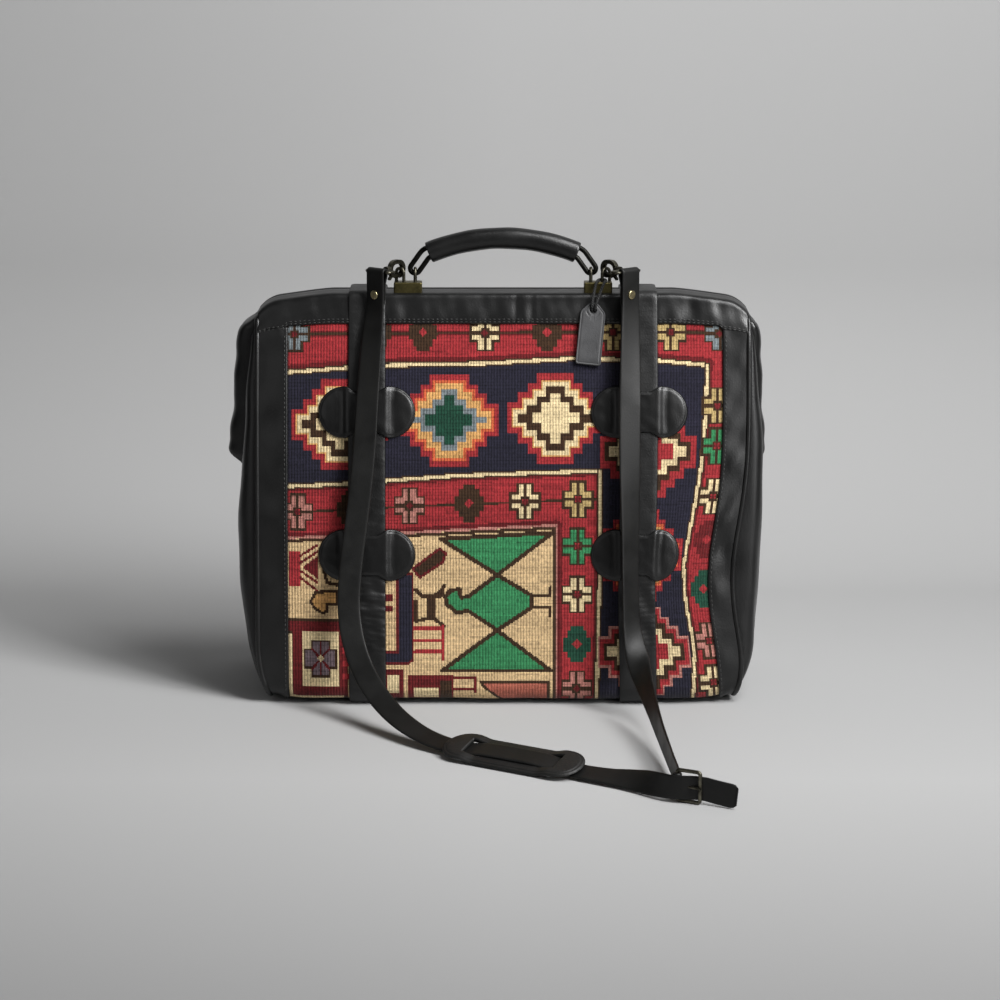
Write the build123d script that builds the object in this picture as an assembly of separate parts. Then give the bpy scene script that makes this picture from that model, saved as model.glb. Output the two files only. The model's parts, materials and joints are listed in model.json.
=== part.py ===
"""Carpet bag: a woven travel bag with leather trim, a hinged mouth frame strapped shut by two belts,
a swinging carry handle and a clip-on shoulder strap.

Millimetres, +Z up, front towards -Y, standing on z = 0."""

import math
import os

from build123d import *

# Body of the bag
body_height = 360.0
panel_half_width = 218.0
base_depth = 180.0
top_depth = 46.0
front_bulge = 12.0
base_corner_radius = 14.0
top_corner_radius = 5.0
wall = 4.0
side_margin = 14.0
shoulder_inset = 82.0
shoulder_drop = 8.0
shoulder_radius = 160.0
corner_radius = 30.0
mouth_gap = 0.8
band_height = 26.0
trim_width = 23.0
bottom_seam_height = 8.0

# Side gussets, their welts and the covers over the frame's hinges
gusset_bulge = 12.0
gusset_margin = 9.4
gusset_drop = 10.0
gusset_wall = 3.0
welt_width = 5.0
welt_height = 2.6
cover_reach = 11.0
cover_depth = 44.0
cover_top_drop = 30.0
cover_tip_drop = 136.0
cover_foot_drop = 16.0
cover_tip_radius = 7.0

# Mouth frame inside the top bands, and the board in the base
frame_bar = 9.0
frame_depth = 8.0
frame_mouth_gap = 6.0
frame_end_gap = 4.0
frame_top_gap = 0.2
frame_leg_gap = 0.4
frame_leg = 4.0
frame_corner_radius = 24.0
hinge_drop = 138.0
hinge_lug_radius = 8.0
hinge_pin_radius = 2.5
hinge_pin_play = 0.1
hinge_head_radius = 4.5
hinge_head_height = 1.6
board_thickness = 3.0
board_inset = 12.0

# Belts, the tabs that hold them, and their buckles
belt_x = 120.5
belt_width = 33.0
belt_thickness = 3.0
tongue_top_z = 236.0
tongue_length = 74.0
keeper_z = (259.0, 135.0)
keeper_bridge_width = 40.0
keeper_bridge_height = 36.0
keeper_end_radius = 23.0
keeper_thickness = 2.5
belt_side_play = 0.5
buckle_z = 214.0
buckle_width = 45.0
buckle_height = 36.0
buckle_bar = 4.5
buckle_thickness = 3.2
buckle_corner_radius = 5.0
prong_width = 4.0
prong_thickness = 2.6
belt_loop_z = 176.0
belt_loop_height = 14.0
belt_loop_thickness = 2.0

# Carry handle and its brackets on the front half of the mouth
handle_y = -13.0
bracket_x = 84.5
bracket_length = 25.0
bracket_depth = 15.0
bracket_height = 10.0
bracket_edge_radius = 1.2
eye_x = 78.0
ring_x = 91.5
staple_radius = 4.4
staple_wire_radius = 1.5
staple_leg_rise = 7.4
staple_leg_depth = 6.0
staple_bore_play = 0.1
grip_arc_radius = 174.0
grip_half_span = 66.0
grip_rise = 49.0
grip_radius = 9.2
grip_end_radius = 2.0
core_rod_radius = 2.3
core_bend_radius = 10.0

# Swivel snap hooks, measured along the hook from the wire that it holds
snap_yaw = 50.0
snap_thickness = 4.0
snap_window_length = 13.0
snap_window_height = 9.0
snap_arm = 3.6
snap_wire_play = 0.2
nose_reach = 2.5
gate_play = 0.3
gate_thickness = 2.0
gate_height = 2.6
gate_pin_radius = 1.0
gate_pin_play = 0.15
gate_pivot_angle = 50.0
gate_tail_length = 4.6
gate_tail_angle = 45.0
cheek_radius = 2.4
barrel_radius = 3.4
barrel_length = 5.0
barrel_overlap = 0.8
post_radius = 1.6
post_play = 0.15
post_depth = 3.4
post_end_play = 0.3
post_neck = 2.4
eye_wire_radius = 1.4
eye_half_width = 13.5
eye_length = 8.6
eye_corner_radius = 2.6

# Shoulder strap: width, thickness, folded ends and rivets
strap_width = 20.0
strap_thickness = 2.2
strap_bar_play = 0.1
fold_length = 28.0
fold_join = 14.0
rivet_drop = 20.0
rivet_radius = 4.0
rivet_head_height = 1.4
rivet_edge_radius = 0.9
rivet_shank_radius = 1.6

# Route of the long strap below its fold: centre point, then the direction of its width
long_strap_route = [
    ((-116.0, -49.0, 318.0), (0.93, -0.36, 0.0)),
    ((-119.5, -64.0, 271.0), (0.98, -0.18, 0.0)),
    ((-121.6, -75.0, 229.0), (1.0, 0.0, 0.0)),
    ((-127.0, -84.5, 180.0), (1.0, 0.05, 0.05)),
    ((-134.0, -94.5, 130.0), (0.98, 0.10, 0.18)),
    ((-136.5, -103.0, 92.0), (0.97, 0.10, 0.22)),
    ((-130.5, -117.0, 60.0), (0.93, 0.10, 0.35)),
    ((-117.0, -142.0, 36.0), (0.85, 0.30, 0.42)),
    ((-97.0, -174.0, 19.5), (0.72, 0.60, 0.36)),
    ((-74.0, -203.5, 10.5), (0.58, 0.76, 0.29)),
    ((-52.0, -224.5, 7.0), (0.51, 0.82, 0.26)),
    ((-30.6, -239.6, 6.4), (0.497, 0.828, 0.259)),
    ((-16.5, -249.2, 10.1), (0.497, 0.828, 0.259)),
    ((8.3, -264.1, 10.3), (0.497, 0.828, 0.259)),
    ((33.2, -279.0, 10.1), (0.497, 0.828, 0.259)),
    ((48.3, -286.9, 6.4), (0.497, 0.828, 0.259)),
    ((68.0, -299.5, 5.4), (0.50, 0.82, 0.27)),
    ((88.0, -312.0, 6.2), (0.48, 0.79, 0.37)),
    ((107.0, -327.0, 8.4), (0.40, 0.66, 0.64)),
    ((122.5, -347.5, 11.6), (0.18, 0.26, 0.95)),
    ((136.4, -361.8, 13.4), (0.0, 0.0, 1.0)),
    ((158.4, -362.5, 13.4), (0.0, 0.0, 1.0)),
    ((171.0, -370.0, 11.6), (0.0, 0.04, 1.0)),
    ((187.0, -378.0, 10.3), (0.0, 0.08, 1.0)),
]
# Route of the short strap below its fold, down to the adjuster buckle
short_strap_route = [
    ((112.5, -49.5, 316.0), (0.88, 0.46, 0.0)),
    ((111.5, -65.0, 268.0), (0.97, 0.24, 0.0)),
    ((111.5, -79.0, 215.0), (0.93, 0.36, 0.0)),
    ((112.0, -89.0, 160.0), (0.78, 0.62, 0.0)),
    ((112.0, -98.5, 110.0), (0.70, 0.70, 0.10)),
    ((113.5, -106.0, 72.0), (0.70, 0.62, 0.32)),
    ((119.0, -121.0, 47.0), (0.58, 0.44, 0.68)),
    ((124.5, -148.0, 33.0), (0.38, 0.28, 0.87)),
    ((129.0, -185.0, 24.0), (0.22, 0.14, 0.96)),
    ((133.0, -228.0, 17.5), (0.10, 0.06, 0.99)),
    ((136.5, -271.0, 14.4), (0.04, 0.02, 1.0)),
    ((139.0, -309.0, 13.6), (0.0, 0.0, 1.0)),
    ((141.0, -338.0, 13.4), (0.0, 0.0, 1.0)),
    ((141.8, -357.4, 13.4), (0.0, 0.0, 1.0)),
]

# Shoulder pad on the strap, lying along the strap's heading on the floor
pad_heading = -31.0
pad_x = 9.0
pad_y = -263.0
pad_z = 5.4
pad_lean = 15.0
pad_length = 132.0
pad_width = 40.0
pad_thickness = 3.6
pad_rise = 2.7
pad_middle_length = 58.0
pad_ramp_length = 14.0
slit_offset = 36.0
slit_length = 18.0
slit_width = 23.0

# Adjuster buckle, standing on its side round the strap
adjuster_heading = -26.9
adjuster_x = 148.0
adjuster_y = -361.0
adjuster_length = 20.0
adjuster_inner_width = 22.0
adjuster_wire_radius = 1.6
adjuster_corner_radius = 2.4
adjuster_prong_radius = 1.1
adjuster_prong_play = 0.4
adjuster_bar_play = 0.1
prong_eye_radius = 3.0
prong_eye_height = 2.8
prong_eye_play = 0.3
prong_rest_play = 0.5

# Luggage tag and its cord
tag_x = 80.5
tag_top_z = 352.0
tag_width = 22.5
tag_length = 53.0
tag_thickness = 2.4
tag_tilt = -6.0
tag_corner = 8.0
tag_hole_radius = 3.0
tag_hole_drop = 6.0
tag_gap = 0.4
tag_cord_radius = 1.2
cord_run_share = 0.45
tag_cord_route = [
    (78.6, -29.0, 345.8),
    (78.6, -32.8, 349.6),
    (79.3, -31.8, 356.0),
    (80.8, -27.6, 364.0),
    (82.6, -23.4, 370.2),
    (84.2, -18.8, 371.7),
    (85.2, -14.0, 371.7),
    (88.2, -11.8, 371.7),
    (91.2, -14.4, 371.7),
    (91.2, -19.4, 371.7),
    (89.4, -23.6, 370.2),
    (86.8, -27.8, 364.0),
    (83.4, -31.9, 356.0),
    (81.4, -32.8, 349.6),
    (81.2, -29.0, 345.8),
]

# One length by which every cut runs past the piece it cuts
overrun = 20.0

# Values worked out from the sizes above
base_level = belt_thickness
chord_y = (base_depth - top_depth) / 2
chord_z = body_height - base_level
chord_length = math.hypot(chord_y, chord_z)
bulge_radius = (chord_length**2 / 4 + front_bulge**2) / (2 * front_bulge)
bulge_centre_y = -(base_depth + top_depth) / 4 + (bulge_radius - front_bulge) * chord_z / chord_length
bulge_centre_z = (base_level + body_height) / 2 - (bulge_radius - front_bulge) * chord_y / chord_length
outer_half_width = panel_half_width + side_margin
shoulder_x = outer_half_width - shoulder_inset
gusset_centre_z = body_height / 2 - gusset_drop
gusset_reach = body_height / 2 + gusset_margin
gusset_radius = (gusset_reach**2 + gusset_bulge**2) / (2 * gusset_bulge)
cover_top_z = body_height - cover_top_drop
cover_tip_z = body_height - cover_tip_drop
hinge_z = body_height - hinge_drop
shoulder_slope = shoulder_drop / (outer_half_width - shoulder_x)
band_z = body_height - band_height
trim_x = panel_half_width - trim_width
seam_z = base_level + bottom_seam_height
bracket_top = body_height + bracket_height
pivot_z = bracket_top + staple_leg_rise
window_start = -(staple_wire_radius + snap_wire_play)
window_end = window_start + snap_window_length
snap_end = window_end + snap_arm
window_middle = window_start + snap_window_length / 2
snap_height = snap_window_height + 2 * snap_arm
barrel_start = snap_end - barrel_overlap
barrel_end = barrel_start + barrel_length
eye_start = barrel_end + post_neck
eye_bar_a = eye_start + eye_length
fold_inner = eye_wire_radius + strap_bar_play
fold_outer = fold_inner + strap_thickness
far = body_height + base_depth


def heading(degrees):
    """Unit direction in plan at an angle from +X."""
    return math.cos(math.radians(degrees)), math.sin(math.radians(degrees))


def section(grow):
    """Closed side profile of the bag, with every face moved out by grow, in y and z."""
    low = base_level - grow
    high = body_height + grow
    reach = bulge_radius + grow

    def front(z):
        return bulge_centre_y - math.sqrt(reach**2 - (z - bulge_centre_z) ** 2)

    base = (front(low), low)
    middle = (front((low + high) / 2), (low + high) / 2)
    top = (front(high), high)
    back_base, back_middle, back_top = [(-y, z) for y, z in (base, middle, top)]
    outline = Line(back_base, base) + ThreePointArc(base, middle, top)
    outline += Line(top, back_top) + ThreePointArc(back_top, back_middle, back_base)
    face = make_face(outline)
    face = fillet(face.vertices().group_by(Axis.Y)[0], base_corner_radius + grow)
    return fillet(face.vertices().group_by(Axis.Y)[-1], top_corner_radius + grow)


def skin(grow, start, end):
    """Solid of the side profile between two x positions."""
    return extrude(Plane.YZ.offset(start) * section(grow), amount=end - start)


def layer(low, high, start, end):
    """Ring that follows the bag's side profile between two heights above it."""
    return skin(high, start, end) - skin(low, start - overrun, end + overrun)


def outline_face(half_width, top, grow, radius):
    """Front outline with sloped shoulders and round corners, moved out by grow, in x and z."""
    rise = math.hypot(1, shoulder_slope)
    side = half_width + grow
    break_x = shoulder_x + grow * (rise - 1) / shoulder_slope
    corner_z = top + grow * rise - shoulder_slope * (side - shoulder_x)
    points = [(-side, -overrun), (-side, corner_z), (-break_x, top + grow)]
    points += [(-x, z) for x, z in reversed(points)]
    face = make_face(Polyline(*points, close=True))
    corners = face.vertices().sort_by(Axis.Y)
    face = fillet(corners[2:4], radius + grow)
    return fillet(face.vertices().group_by(Axis.Y)[-1], shoulder_radius + grow)


def envelope(grow):
    """Prism of the front outline, right through the bag."""
    face = outline_face(outer_half_width, body_height, grow, corner_radius)
    return extrude(Plane.XZ * face, amount=far, both=True)


def over(shape, side):
    """Prism of a shape drawn in x and z, from the bag's middle to the front (-1) or the back (1)."""
    return extrude(Plane.XZ * shape, amount=-side * far)


def block(x, y, z):
    """Box between pairs of x, y and z."""
    size = (x[1] - x[0], y[1] - y[0], z[1] - z[0])
    return Pos((x[0] + x[1]) / 2, (y[0] + y[1]) / 2, (z[0] + z[1]) / 2) * Box(*size)


def body_panels():
    """Walls of the bag, cut along their seams into carpet, bands, trims and bottom."""
    outer = skin(0, -panel_half_width, panel_half_width) & envelope(0)
    long_half = panel_half_width + overrun
    inner = skin(-wall, -long_half, long_half) & envelope(-wall)
    shell = outer - inner
    panels = {}
    for name, side in (("front", -1), ("back", 1)):
        depth = sorted((side * mouth_gap / 2, side * far))
        across = (-far, far)
        panels[f"{name}_top_band"] = shell & block(across, depth, (band_z, far))
        panels[f"{name}_carpet"] = shell & block((-trim_x, trim_x), depth, (seam_z, band_z))
        panels[f"{name}_left_trim"] = shell & block((-far, -trim_x), depth, (seam_z, band_z))
        panels[f"{name}_right_trim"] = shell & block((trim_x, far), depth, (seam_z, band_z))
    panels["bottom_panel"] = shell & block((-far, far), (-far, far), (-far, seam_z))
    return panels


def gusset_pieces():
    """Domed side panels, the welts along their seams and the covers over the frame's hinges."""
    end = outer_half_width + overrun
    apex = panel_half_width + gusset_bulge
    centre = Pos(apex - gusset_radius, 0, gusset_centre_z)
    filled = skin(0, panel_half_width, end) & envelope(0) & (centre * Sphere(gusset_radius))
    hollow = skin(-wall, panel_half_width - overrun, end) & envelope(-wall)
    hollow &= centre * Sphere(gusset_radius - gusset_wall)
    gusset = filled - hollow

    welt_start = panel_half_width - welt_width / 2
    welt_end = panel_half_width + welt_width / 2
    welt = skin(welt_height, welt_start, welt_end) & envelope(welt_height)
    welt -= skin(0, welt_start - overrun, welt_end + overrun) & envelope(0)

    tip = apex + cover_reach
    foot = cover_tip_z - cover_foot_drop
    profile = Polyline(
        (panel_half_width, cover_top_z),
        (apex, cover_top_z),
        (tip, cover_tip_z),
        (apex, foot),
        (panel_half_width, foot),
        close=True,
    )
    face = make_face(profile)
    tip_corner = face.vertices().sort_by(Axis.X)[-1]
    face = fillet(tip_corner, cover_tip_radius)
    cover = extrude(Plane.XZ * face, amount=cover_depth / 2, both=True)
    solid_gusset = skin(0, panel_half_width - overrun, end) & envelope(0)
    solid_gusset &= centre * Sphere(gusset_radius)
    cover -= solid_gusset
    return {"gusset": gusset, "welt": welt, "hinge_cover": cover}


def frame_half(half_width, side):
    """One half of the mouth frame: a bent bar with a lug at the foot of each leg for the hinge pin."""
    top = body_height - wall - frame_top_gap
    outer = outline_face(half_width, top, 0, frame_corner_radius)
    inner = outline_face(half_width - frame_leg, top - frame_bar, 0, frame_corner_radius - frame_leg)
    near = side * frame_mouth_gap
    away = side * (frame_mouth_gap + frame_depth)
    depth = sorted((near, away))
    bar = extrude(Plane.XZ * (outer - inner), amount=far, both=True)
    bar &= block((-far, far), depth, (hinge_z, far))
    for end in (-1, 1):
        across = sorted((end * half_width, end * (half_width - frame_leg)))
        lug_plane = Plane.YZ.offset(across[0])
        lug = extrude(lug_plane * (Pos(0, hinge_z) * Circle(hinge_lug_radius)), amount=frame_leg)
        foot = sorted((0, away))
        lug += block(across, foot, (hinge_z - hinge_lug_radius, hinge_z + hinge_lug_radius))
        hole = lug_plane.offset(-overrun) * (Pos(0, hinge_z) * Circle(hinge_pin_radius + hinge_pin_play))
        bar = bar + lug - extrude(hole, amount=frame_leg + 2 * overrun)
    return bar


def hinge_pin(end):
    """Headed pin through the lugs of both frame halves, at the left (-1) or right (1)."""
    outer_face = panel_half_width - frame_end_gap
    inner_face = outer_face - 2 * frame_leg - frame_leg_gap
    plane = Plane.YZ.offset(inner_face)
    at_hinge = Pos(0, hinge_z)
    pin = extrude(plane * (at_hinge * Circle(hinge_pin_radius)), amount=outer_face - inner_face)
    head = at_hinge * Circle(hinge_head_radius)
    pin += extrude(plane.offset(-hinge_head_height) * head, amount=hinge_head_height)
    pin += extrude(Plane.YZ.offset(outer_face) * head, amount=hinge_head_height)
    return pin if end > 0 else mirror(pin, about=Plane.YZ)


def base_board():
    """Stiff board that lies on the bottom panel inside the bag."""
    length = 2 * (panel_half_width - board_inset)
    depth = base_depth - 2 * (wall + board_inset)
    level = base_level + wall + board_thickness / 2
    return Pos(0, 0, level) * Box(length, depth, board_thickness)


def belt(x):
    """Strap round the whole bag, with its tongue lapped over it on the back."""
    start = x - belt_width / 2
    end = x + belt_width / 2
    strap = layer(0, belt_thickness, start, end)
    lap = layer(belt_thickness, 2 * belt_thickness, start, end)
    lap &= block((start, end), (0, far), (tongue_top_z - tongue_length, tongue_top_z))
    return strap + lap


def keeper(x, z, side):
    """Two-lobed tab sewn down beside a belt and bridging over it."""
    half = keeper_bridge_width / 2
    at = Pos(x, z)
    full_height = 2 * keeper_end_radius
    lobes = Pos(-half, 0) * Circle(keeper_end_radius) + Pos(half, 0) * Circle(keeper_end_radius)
    lobes = at * (lobes - Rectangle(keeper_bridge_width, full_height))
    bridge = at * Rectangle(keeper_bridge_width, keeper_bridge_height)
    belt_way = at * Rectangle(belt_width + 2 * belt_side_play, full_height)
    span = (x - half - keeper_end_radius, x + half + keeper_end_radius)
    high = belt_thickness + keeper_thickness
    tab = layer(0, keeper_thickness, *span) & over(lobes, side)
    tab += layer(belt_thickness, high, *span) & over(bridge, side)
    return tab + (layer(0, high, *span) & over(bridge - belt_way, side))


def belt_buckle(x):
    """Frame, prong and loop of one belt's buckle, on the lapped belt at the back."""
    low = 2 * belt_thickness
    at = Pos(x, buckle_z)
    rim = RectangleRounded(buckle_width, buckle_height, buckle_corner_radius)
    rim -= Rectangle(buckle_width - 2 * buckle_bar, buckle_height - 2 * buckle_bar)
    span = (x - buckle_width, x + buckle_width)
    frame = layer(low, low + buckle_thickness, *span) & over(at * rim, 1)
    tongue = at * SlotOverall(buckle_height, prong_width, rotation=90)
    prong_low = low + buckle_thickness
    prong = layer(prong_low, prong_low + prong_thickness, *span) & over(tongue, 1)
    loop_width = belt_width + 2 * (belt_side_play + belt_loop_thickness)
    way = Rectangle(belt_width + 2 * belt_side_play, buckle_height)
    wide = Rectangle(loop_width, belt_loop_height)
    at_loop = Pos(x, belt_loop_z)
    high = low + belt_loop_thickness
    loop = layer(low, high, *span) & over(at_loop * wide, 1)
    loop += layer(0, high, *span) & over(at_loop * (wide - way), 1)
    return {"buckle": frame, "buckle_prong": prong, "belt_loop": loop}


def staple(x, yaw):
    """Round-wire eye standing in a bracket: two legs and a half-round crown."""
    foot = bracket_top - staple_leg_depth
    path = Line((-staple_radius, foot), (-staple_radius, pivot_z))
    crown = (0, pivot_z + staple_radius)
    path += ThreePointArc((-staple_radius, pivot_z), crown, (staple_radius, pivot_z))
    path += Line((staple_radius, pivot_z), (staple_radius, foot))
    plane = Plane(origin=(x, handle_y, 0), x_dir=(*heading(yaw + 90), 0), z_dir=(*heading(yaw), 0))
    wire = plane * path
    profile = Plane(origin=wire @ 0, z_dir=wire % 0) * Circle(staple_wire_radius)
    return sweep(profile, path=wire)


def staple_bores(x, yaw):
    """Bores in a bracket for the two legs of a staple."""
    drill = Cylinder(staple_wire_radius + staple_bore_play, staple_leg_depth + overrun)
    level = bracket_top - staple_leg_depth + (staple_leg_depth + overrun) / 2
    across, along = [staple_radius * share for share in heading(yaw + 90)]
    bores = Pos(x + across, handle_y + along, level) * drill
    return bores + Pos(x - across, handle_y - along, level) * drill


def bracket(end):
    """Block on the front half of the mouth that carries the handle's eye and the strap's ring."""
    middle = body_height + bracket_height / 2
    body = Pos(end * bracket_x, handle_y, middle) * Box(bracket_length, bracket_depth, bracket_height)
    body = fillet(body.edges().filter_by(Axis.Z), bracket_edge_radius)
    body = fillet(body.edges().group_by(Axis.Z)[-1], bracket_edge_radius)
    body -= staple_bores(end * eye_x, 0)
    return body - staple_bores(end * ring_x, -end * snap_yaw)


def handle_points(offset):
    """Points of the handle's right half at an offset from its middle line: crown, grip end, bend, tip."""
    top = body_height + grip_rise
    centre = Vector(0, top - grip_arc_radius)
    turn = math.asin(grip_half_span / grip_arc_radius)

    def out(angle):
        return Vector(math.sin(angle), math.cos(angle))

    bend_centre = centre + out(turn) * (grip_arc_radius - core_bend_radius)
    way = Vector(eye_x, pivot_z + staple_radius) - bend_centre
    last = math.asin(core_bend_radius / way.length) + math.atan2(-way.Y, way.X)
    bend = core_bend_radius + offset
    return {
        "crown": Vector(0, top + offset),
        "grip_end": centre + out(turn) * (grip_arc_radius + offset),
        "bend_middle": bend_centre + out((turn + last) / 2) * bend,
        "bend_end": bend_centre + out(last) * bend,
        "tip": bend_centre + way + out(last) * offset,
        "nose": bend_centre + way + out(last + math.pi / 2) * abs(offset),
    }


def handle_plane():
    """Upright plane of the handle at rest, with x and z as its two directions."""
    return Plane(origin=(0, handle_y, 0), x_dir=(1, 0, 0), z_dir=(0, -1, 0))


def handle_core():
    """Closed rod loop of the handle, bent to the grip's arc, with an eye looped at each end."""
    upper = handle_points(staple_radius)
    lower = handle_points(-staple_radius)
    end = ThreePointArc(upper["tip"], upper["nose"], lower["tip"])
    for points in (upper, lower):
        end += ThreePointArc(points["grip_end"], points["bend_middle"], points["bend_end"])
        end += Line(points["bend_end"], points["tip"])
    path = end + mirror(end, about=Plane.YZ)
    for points in (upper, lower):
        left_end = Vector(-points["grip_end"].X, points["grip_end"].Y)
        path += ThreePointArc(left_end, points["crown"], points["grip_end"])
    wire = Wire((handle_plane() * path).edges())
    profile = Plane(origin=wire @ 0, z_dir=wire % 0) * Circle(core_rod_radius)
    return sweep(profile, path=wire)


def handle_grip(core):
    """Arched leather grip stitched round the middle of the rod loop."""
    points = handle_points(0)
    left_end = Vector(-points["grip_end"].X, points["grip_end"].Y)
    path = handle_plane() * ThreePointArc(left_end, points["crown"], points["grip_end"])
    profile = Plane(origin=path @ 0, z_dir=path % 0) * Circle(grip_radius)
    grip = sweep(profile, path=path)
    rims = grip.edges().sort_by(SortBy.LENGTH)[:2]
    return fillet(rims, grip_end_radius) - core


def at_snap(end):
    """Place of the snap hook at the left (-1) or right (1): along the hook, across it and up."""
    turn = -snap_yaw if end > 0 else 180 + snap_yaw
    return Location((end * ring_x, handle_y, pivot_z + staple_radius), (0, 0, turn))


def gate_pivot():
    """Pivot of the gate, on the middle of the hook's rear bend."""
    radius = (snap_window_height + snap_arm) / 2
    bend_x = window_end - snap_window_height / 2
    across, down = heading(gate_pivot_angle)
    return bend_x + radius * across, -radius * down


def snap_hook():
    """Flat cast hook with a forked heel for the gate, and a swivel barrel behind it."""
    length = snap_window_length + 2 * snap_arm
    outline = SlotOverall(length, snap_height) - SlotOverall(snap_window_length, snap_window_height)
    hook = extrude(Plane.XZ * (Pos(window_middle, 0) * outline), amount=snap_thickness / 2, both=True)
    pivot_a, pivot_r = gate_pivot()
    mouth_top = -snap_window_height / 2
    mouth_low = -snap_height / 2 - overrun
    hook -= block((nose_reach, pivot_a - cheek_radius), (-far, far), (mouth_low, mouth_top))
    fork = gate_thickness / 2 + gate_play
    fork_top = pivot_r + gate_height / 2 + gate_play
    hook -= block((nose_reach, snap_end + overrun), (-fork, fork), (mouth_low, fork_top))
    barrel = extrude(Plane.YZ.offset(barrel_start) * Circle(barrel_radius), amount=barrel_length)
    hook += barrel
    bore = Plane.YZ.offset(barrel_end - post_depth - post_end_play) * Circle(post_radius + post_play)
    hook -= extrude(bore, amount=post_depth + post_end_play)
    pin = Plane.XZ * (Pos(pivot_a, pivot_r) * Circle(gate_pin_radius))
    return hook + extrude(pin, amount=snap_thickness / 2, both=True)


def snap_gate():
    """Sprung gate lever that closes the hook, with a thumb tail behind its pin."""
    pivot_a, pivot_r = gate_pivot()
    tip_a = nose_reach + gate_play + gate_height / 2
    tip_r = -(snap_window_height + snap_arm) / 2
    bar = SlotCenterToCenter(math.hypot(pivot_a - tip_a, pivot_r - tip_r), gate_height)
    lean = math.degrees(math.atan2(pivot_r - tip_r, pivot_a - tip_a))
    lever = Pos((pivot_a + tip_a) / 2, (pivot_r + tip_r) / 2) * Rot(0, 0, lean) * bar
    tail_a, tail_r = [gate_tail_length * share for share in heading(-gate_tail_angle)]
    tail = Rot(0, 0, -gate_tail_angle) * SlotCenterToCenter(gate_tail_length, gate_height)
    lever += Pos(pivot_a + tail_a / 2, pivot_r + tail_r / 2) * tail
    lever -= Pos(pivot_a, pivot_r) * Circle(gate_pin_radius + gate_pin_play)
    return extrude(Plane.XZ * lever, amount=gate_thickness / 2, both=True)


def snap_eye():
    """Wire eye for the strap, turning on a post in the hook's barrel."""
    corners = [(eye_start, -eye_half_width), (eye_bar_a, -eye_half_width)]
    corners += [(a, -across) for a, across in reversed(corners)]
    path = FilletPolyline(*corners, radius=eye_corner_radius, close=True)
    profile = Plane(origin=path @ 0, z_dir=path % 0) * Circle(eye_wire_radius)
    loop = sweep(profile, path=path)
    post_start = barrel_end - post_depth
    return loop + extrude(Plane.YZ.offset(post_start) * Circle(post_radius), amount=eye_start - post_start)


def strap_fold():
    """Doubled strap end round the eye's bar, with the rivet's hole."""
    upper_half = Pos(0, fold_outer) * Rectangle(2 * fold_outer, 2 * fold_outer)
    turn = (Circle(fold_outer) - Circle(fold_inner)) & upper_half
    flap_a = fold_inner - strap_thickness
    front = [(fold_inner, 0), (fold_outer, 0), (fold_outer, -fold_length), (fold_inner, -fold_length)]
    back = [(-fold_outer, 0), (-fold_inner, 0), (fold_inner, -fold_join)]
    back += [(fold_inner, -fold_length), (flap_a, -fold_length), (flap_a, -fold_join)]
    profile = turn
    for corners in (front, back):
        profile += make_face(Polyline(*corners, close=True))
    fold = extrude(Plane.XZ * (Pos(eye_bar_a, 0) * profile), amount=strap_width / 2, both=True)
    return fold - extrude(rivet_plane() * Circle(rivet_shank_radius), amount=overrun, both=True)


def rivet_plane():
    """Plane of the strap's front face at the rivet."""
    return Plane.YZ.offset(eye_bar_a + fold_outer) * Pos(0, -rivet_drop)


def strap_rivet():
    """Two-headed rivet through the strap's doubled end."""
    stack = 2 * strap_thickness
    plane = rivet_plane()
    rivet = extrude(plane * Circle(rivet_shank_radius), amount=-stack)
    rivet += extrude(plane * Circle(rivet_radius), amount=rivet_head_height)
    back = plane * Pos(0, 0, -stack)
    rivet += extrude(back * Circle(rivet_radius), amount=-rivet_head_height)
    rims = rivet.edges().filter_by(GeomType.CIRCLE).group_by(Axis.X)
    return fillet(rims[0] + rims[-1], rivet_edge_radius)


def strap_run(end, route):
    """Flat strap from the foot of its fold through the points of its route."""
    place = at_snap(end)
    foot = place * Pos(eye_bar_a + (fold_inner + fold_outer) / 2, 0, -fold_length)
    across = Vector(*heading(90 + place.orientation.Z), 0)
    points = [(foot.position, across if end > 0 else -across)]
    points += [(Vector(*point), Vector(*width)) for point, width in route]
    sections = []
    for index, (point, width) in enumerate(points):
        before = points[max(index - 1, 0)][0]
        after = points[min(index + 1, len(points) - 1)][0]
        along = (after - before).normalized() if index else Vector(0, 0, -1)
        width = width - along * width.dot(along)
        plane = Plane(origin=point, x_dir=width, z_dir=along)
        sections.append(plane * Rectangle(strap_width, strap_thickness))
    return place * strap_fold() + loft(sections, ruled=True)


def shoulder_pad():
    """Leather pad with two slits, through which the strap passes up and over its middle."""
    middle = pad_middle_length / 2
    low = [(pad_length / 2, pad_rise), (middle + pad_ramp_length, pad_rise), (middle, 0)]
    low += [(-s, z) for s, z in reversed(low)]
    high = [(s, z + pad_thickness) for s, z in reversed(low)]
    side = make_face(Polyline(*low, *high, close=True))
    pad = extrude(Plane.XZ * side, amount=pad_width / 2, both=True)
    pad &= extrude(SlotOverall(pad_length, pad_width), amount=pad_rise + 2 * pad_thickness)
    for end in (-1, 1):
        pad -= Pos(end * slit_offset, 0, 0) * Box(slit_length, slit_width, 2 * overrun)
    return Location((pad_x, pad_y, pad_z), (0, 0, pad_heading)) * Rot(pad_lean, 0, 0) * pad


def at_adjuster():
    """Place of the adjuster: along the strap, across it and up, from the foot of the frame's middle."""
    return Location((adjuster_x, adjuster_y, adjuster_wire_radius), (0, 0, adjuster_heading))


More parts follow.
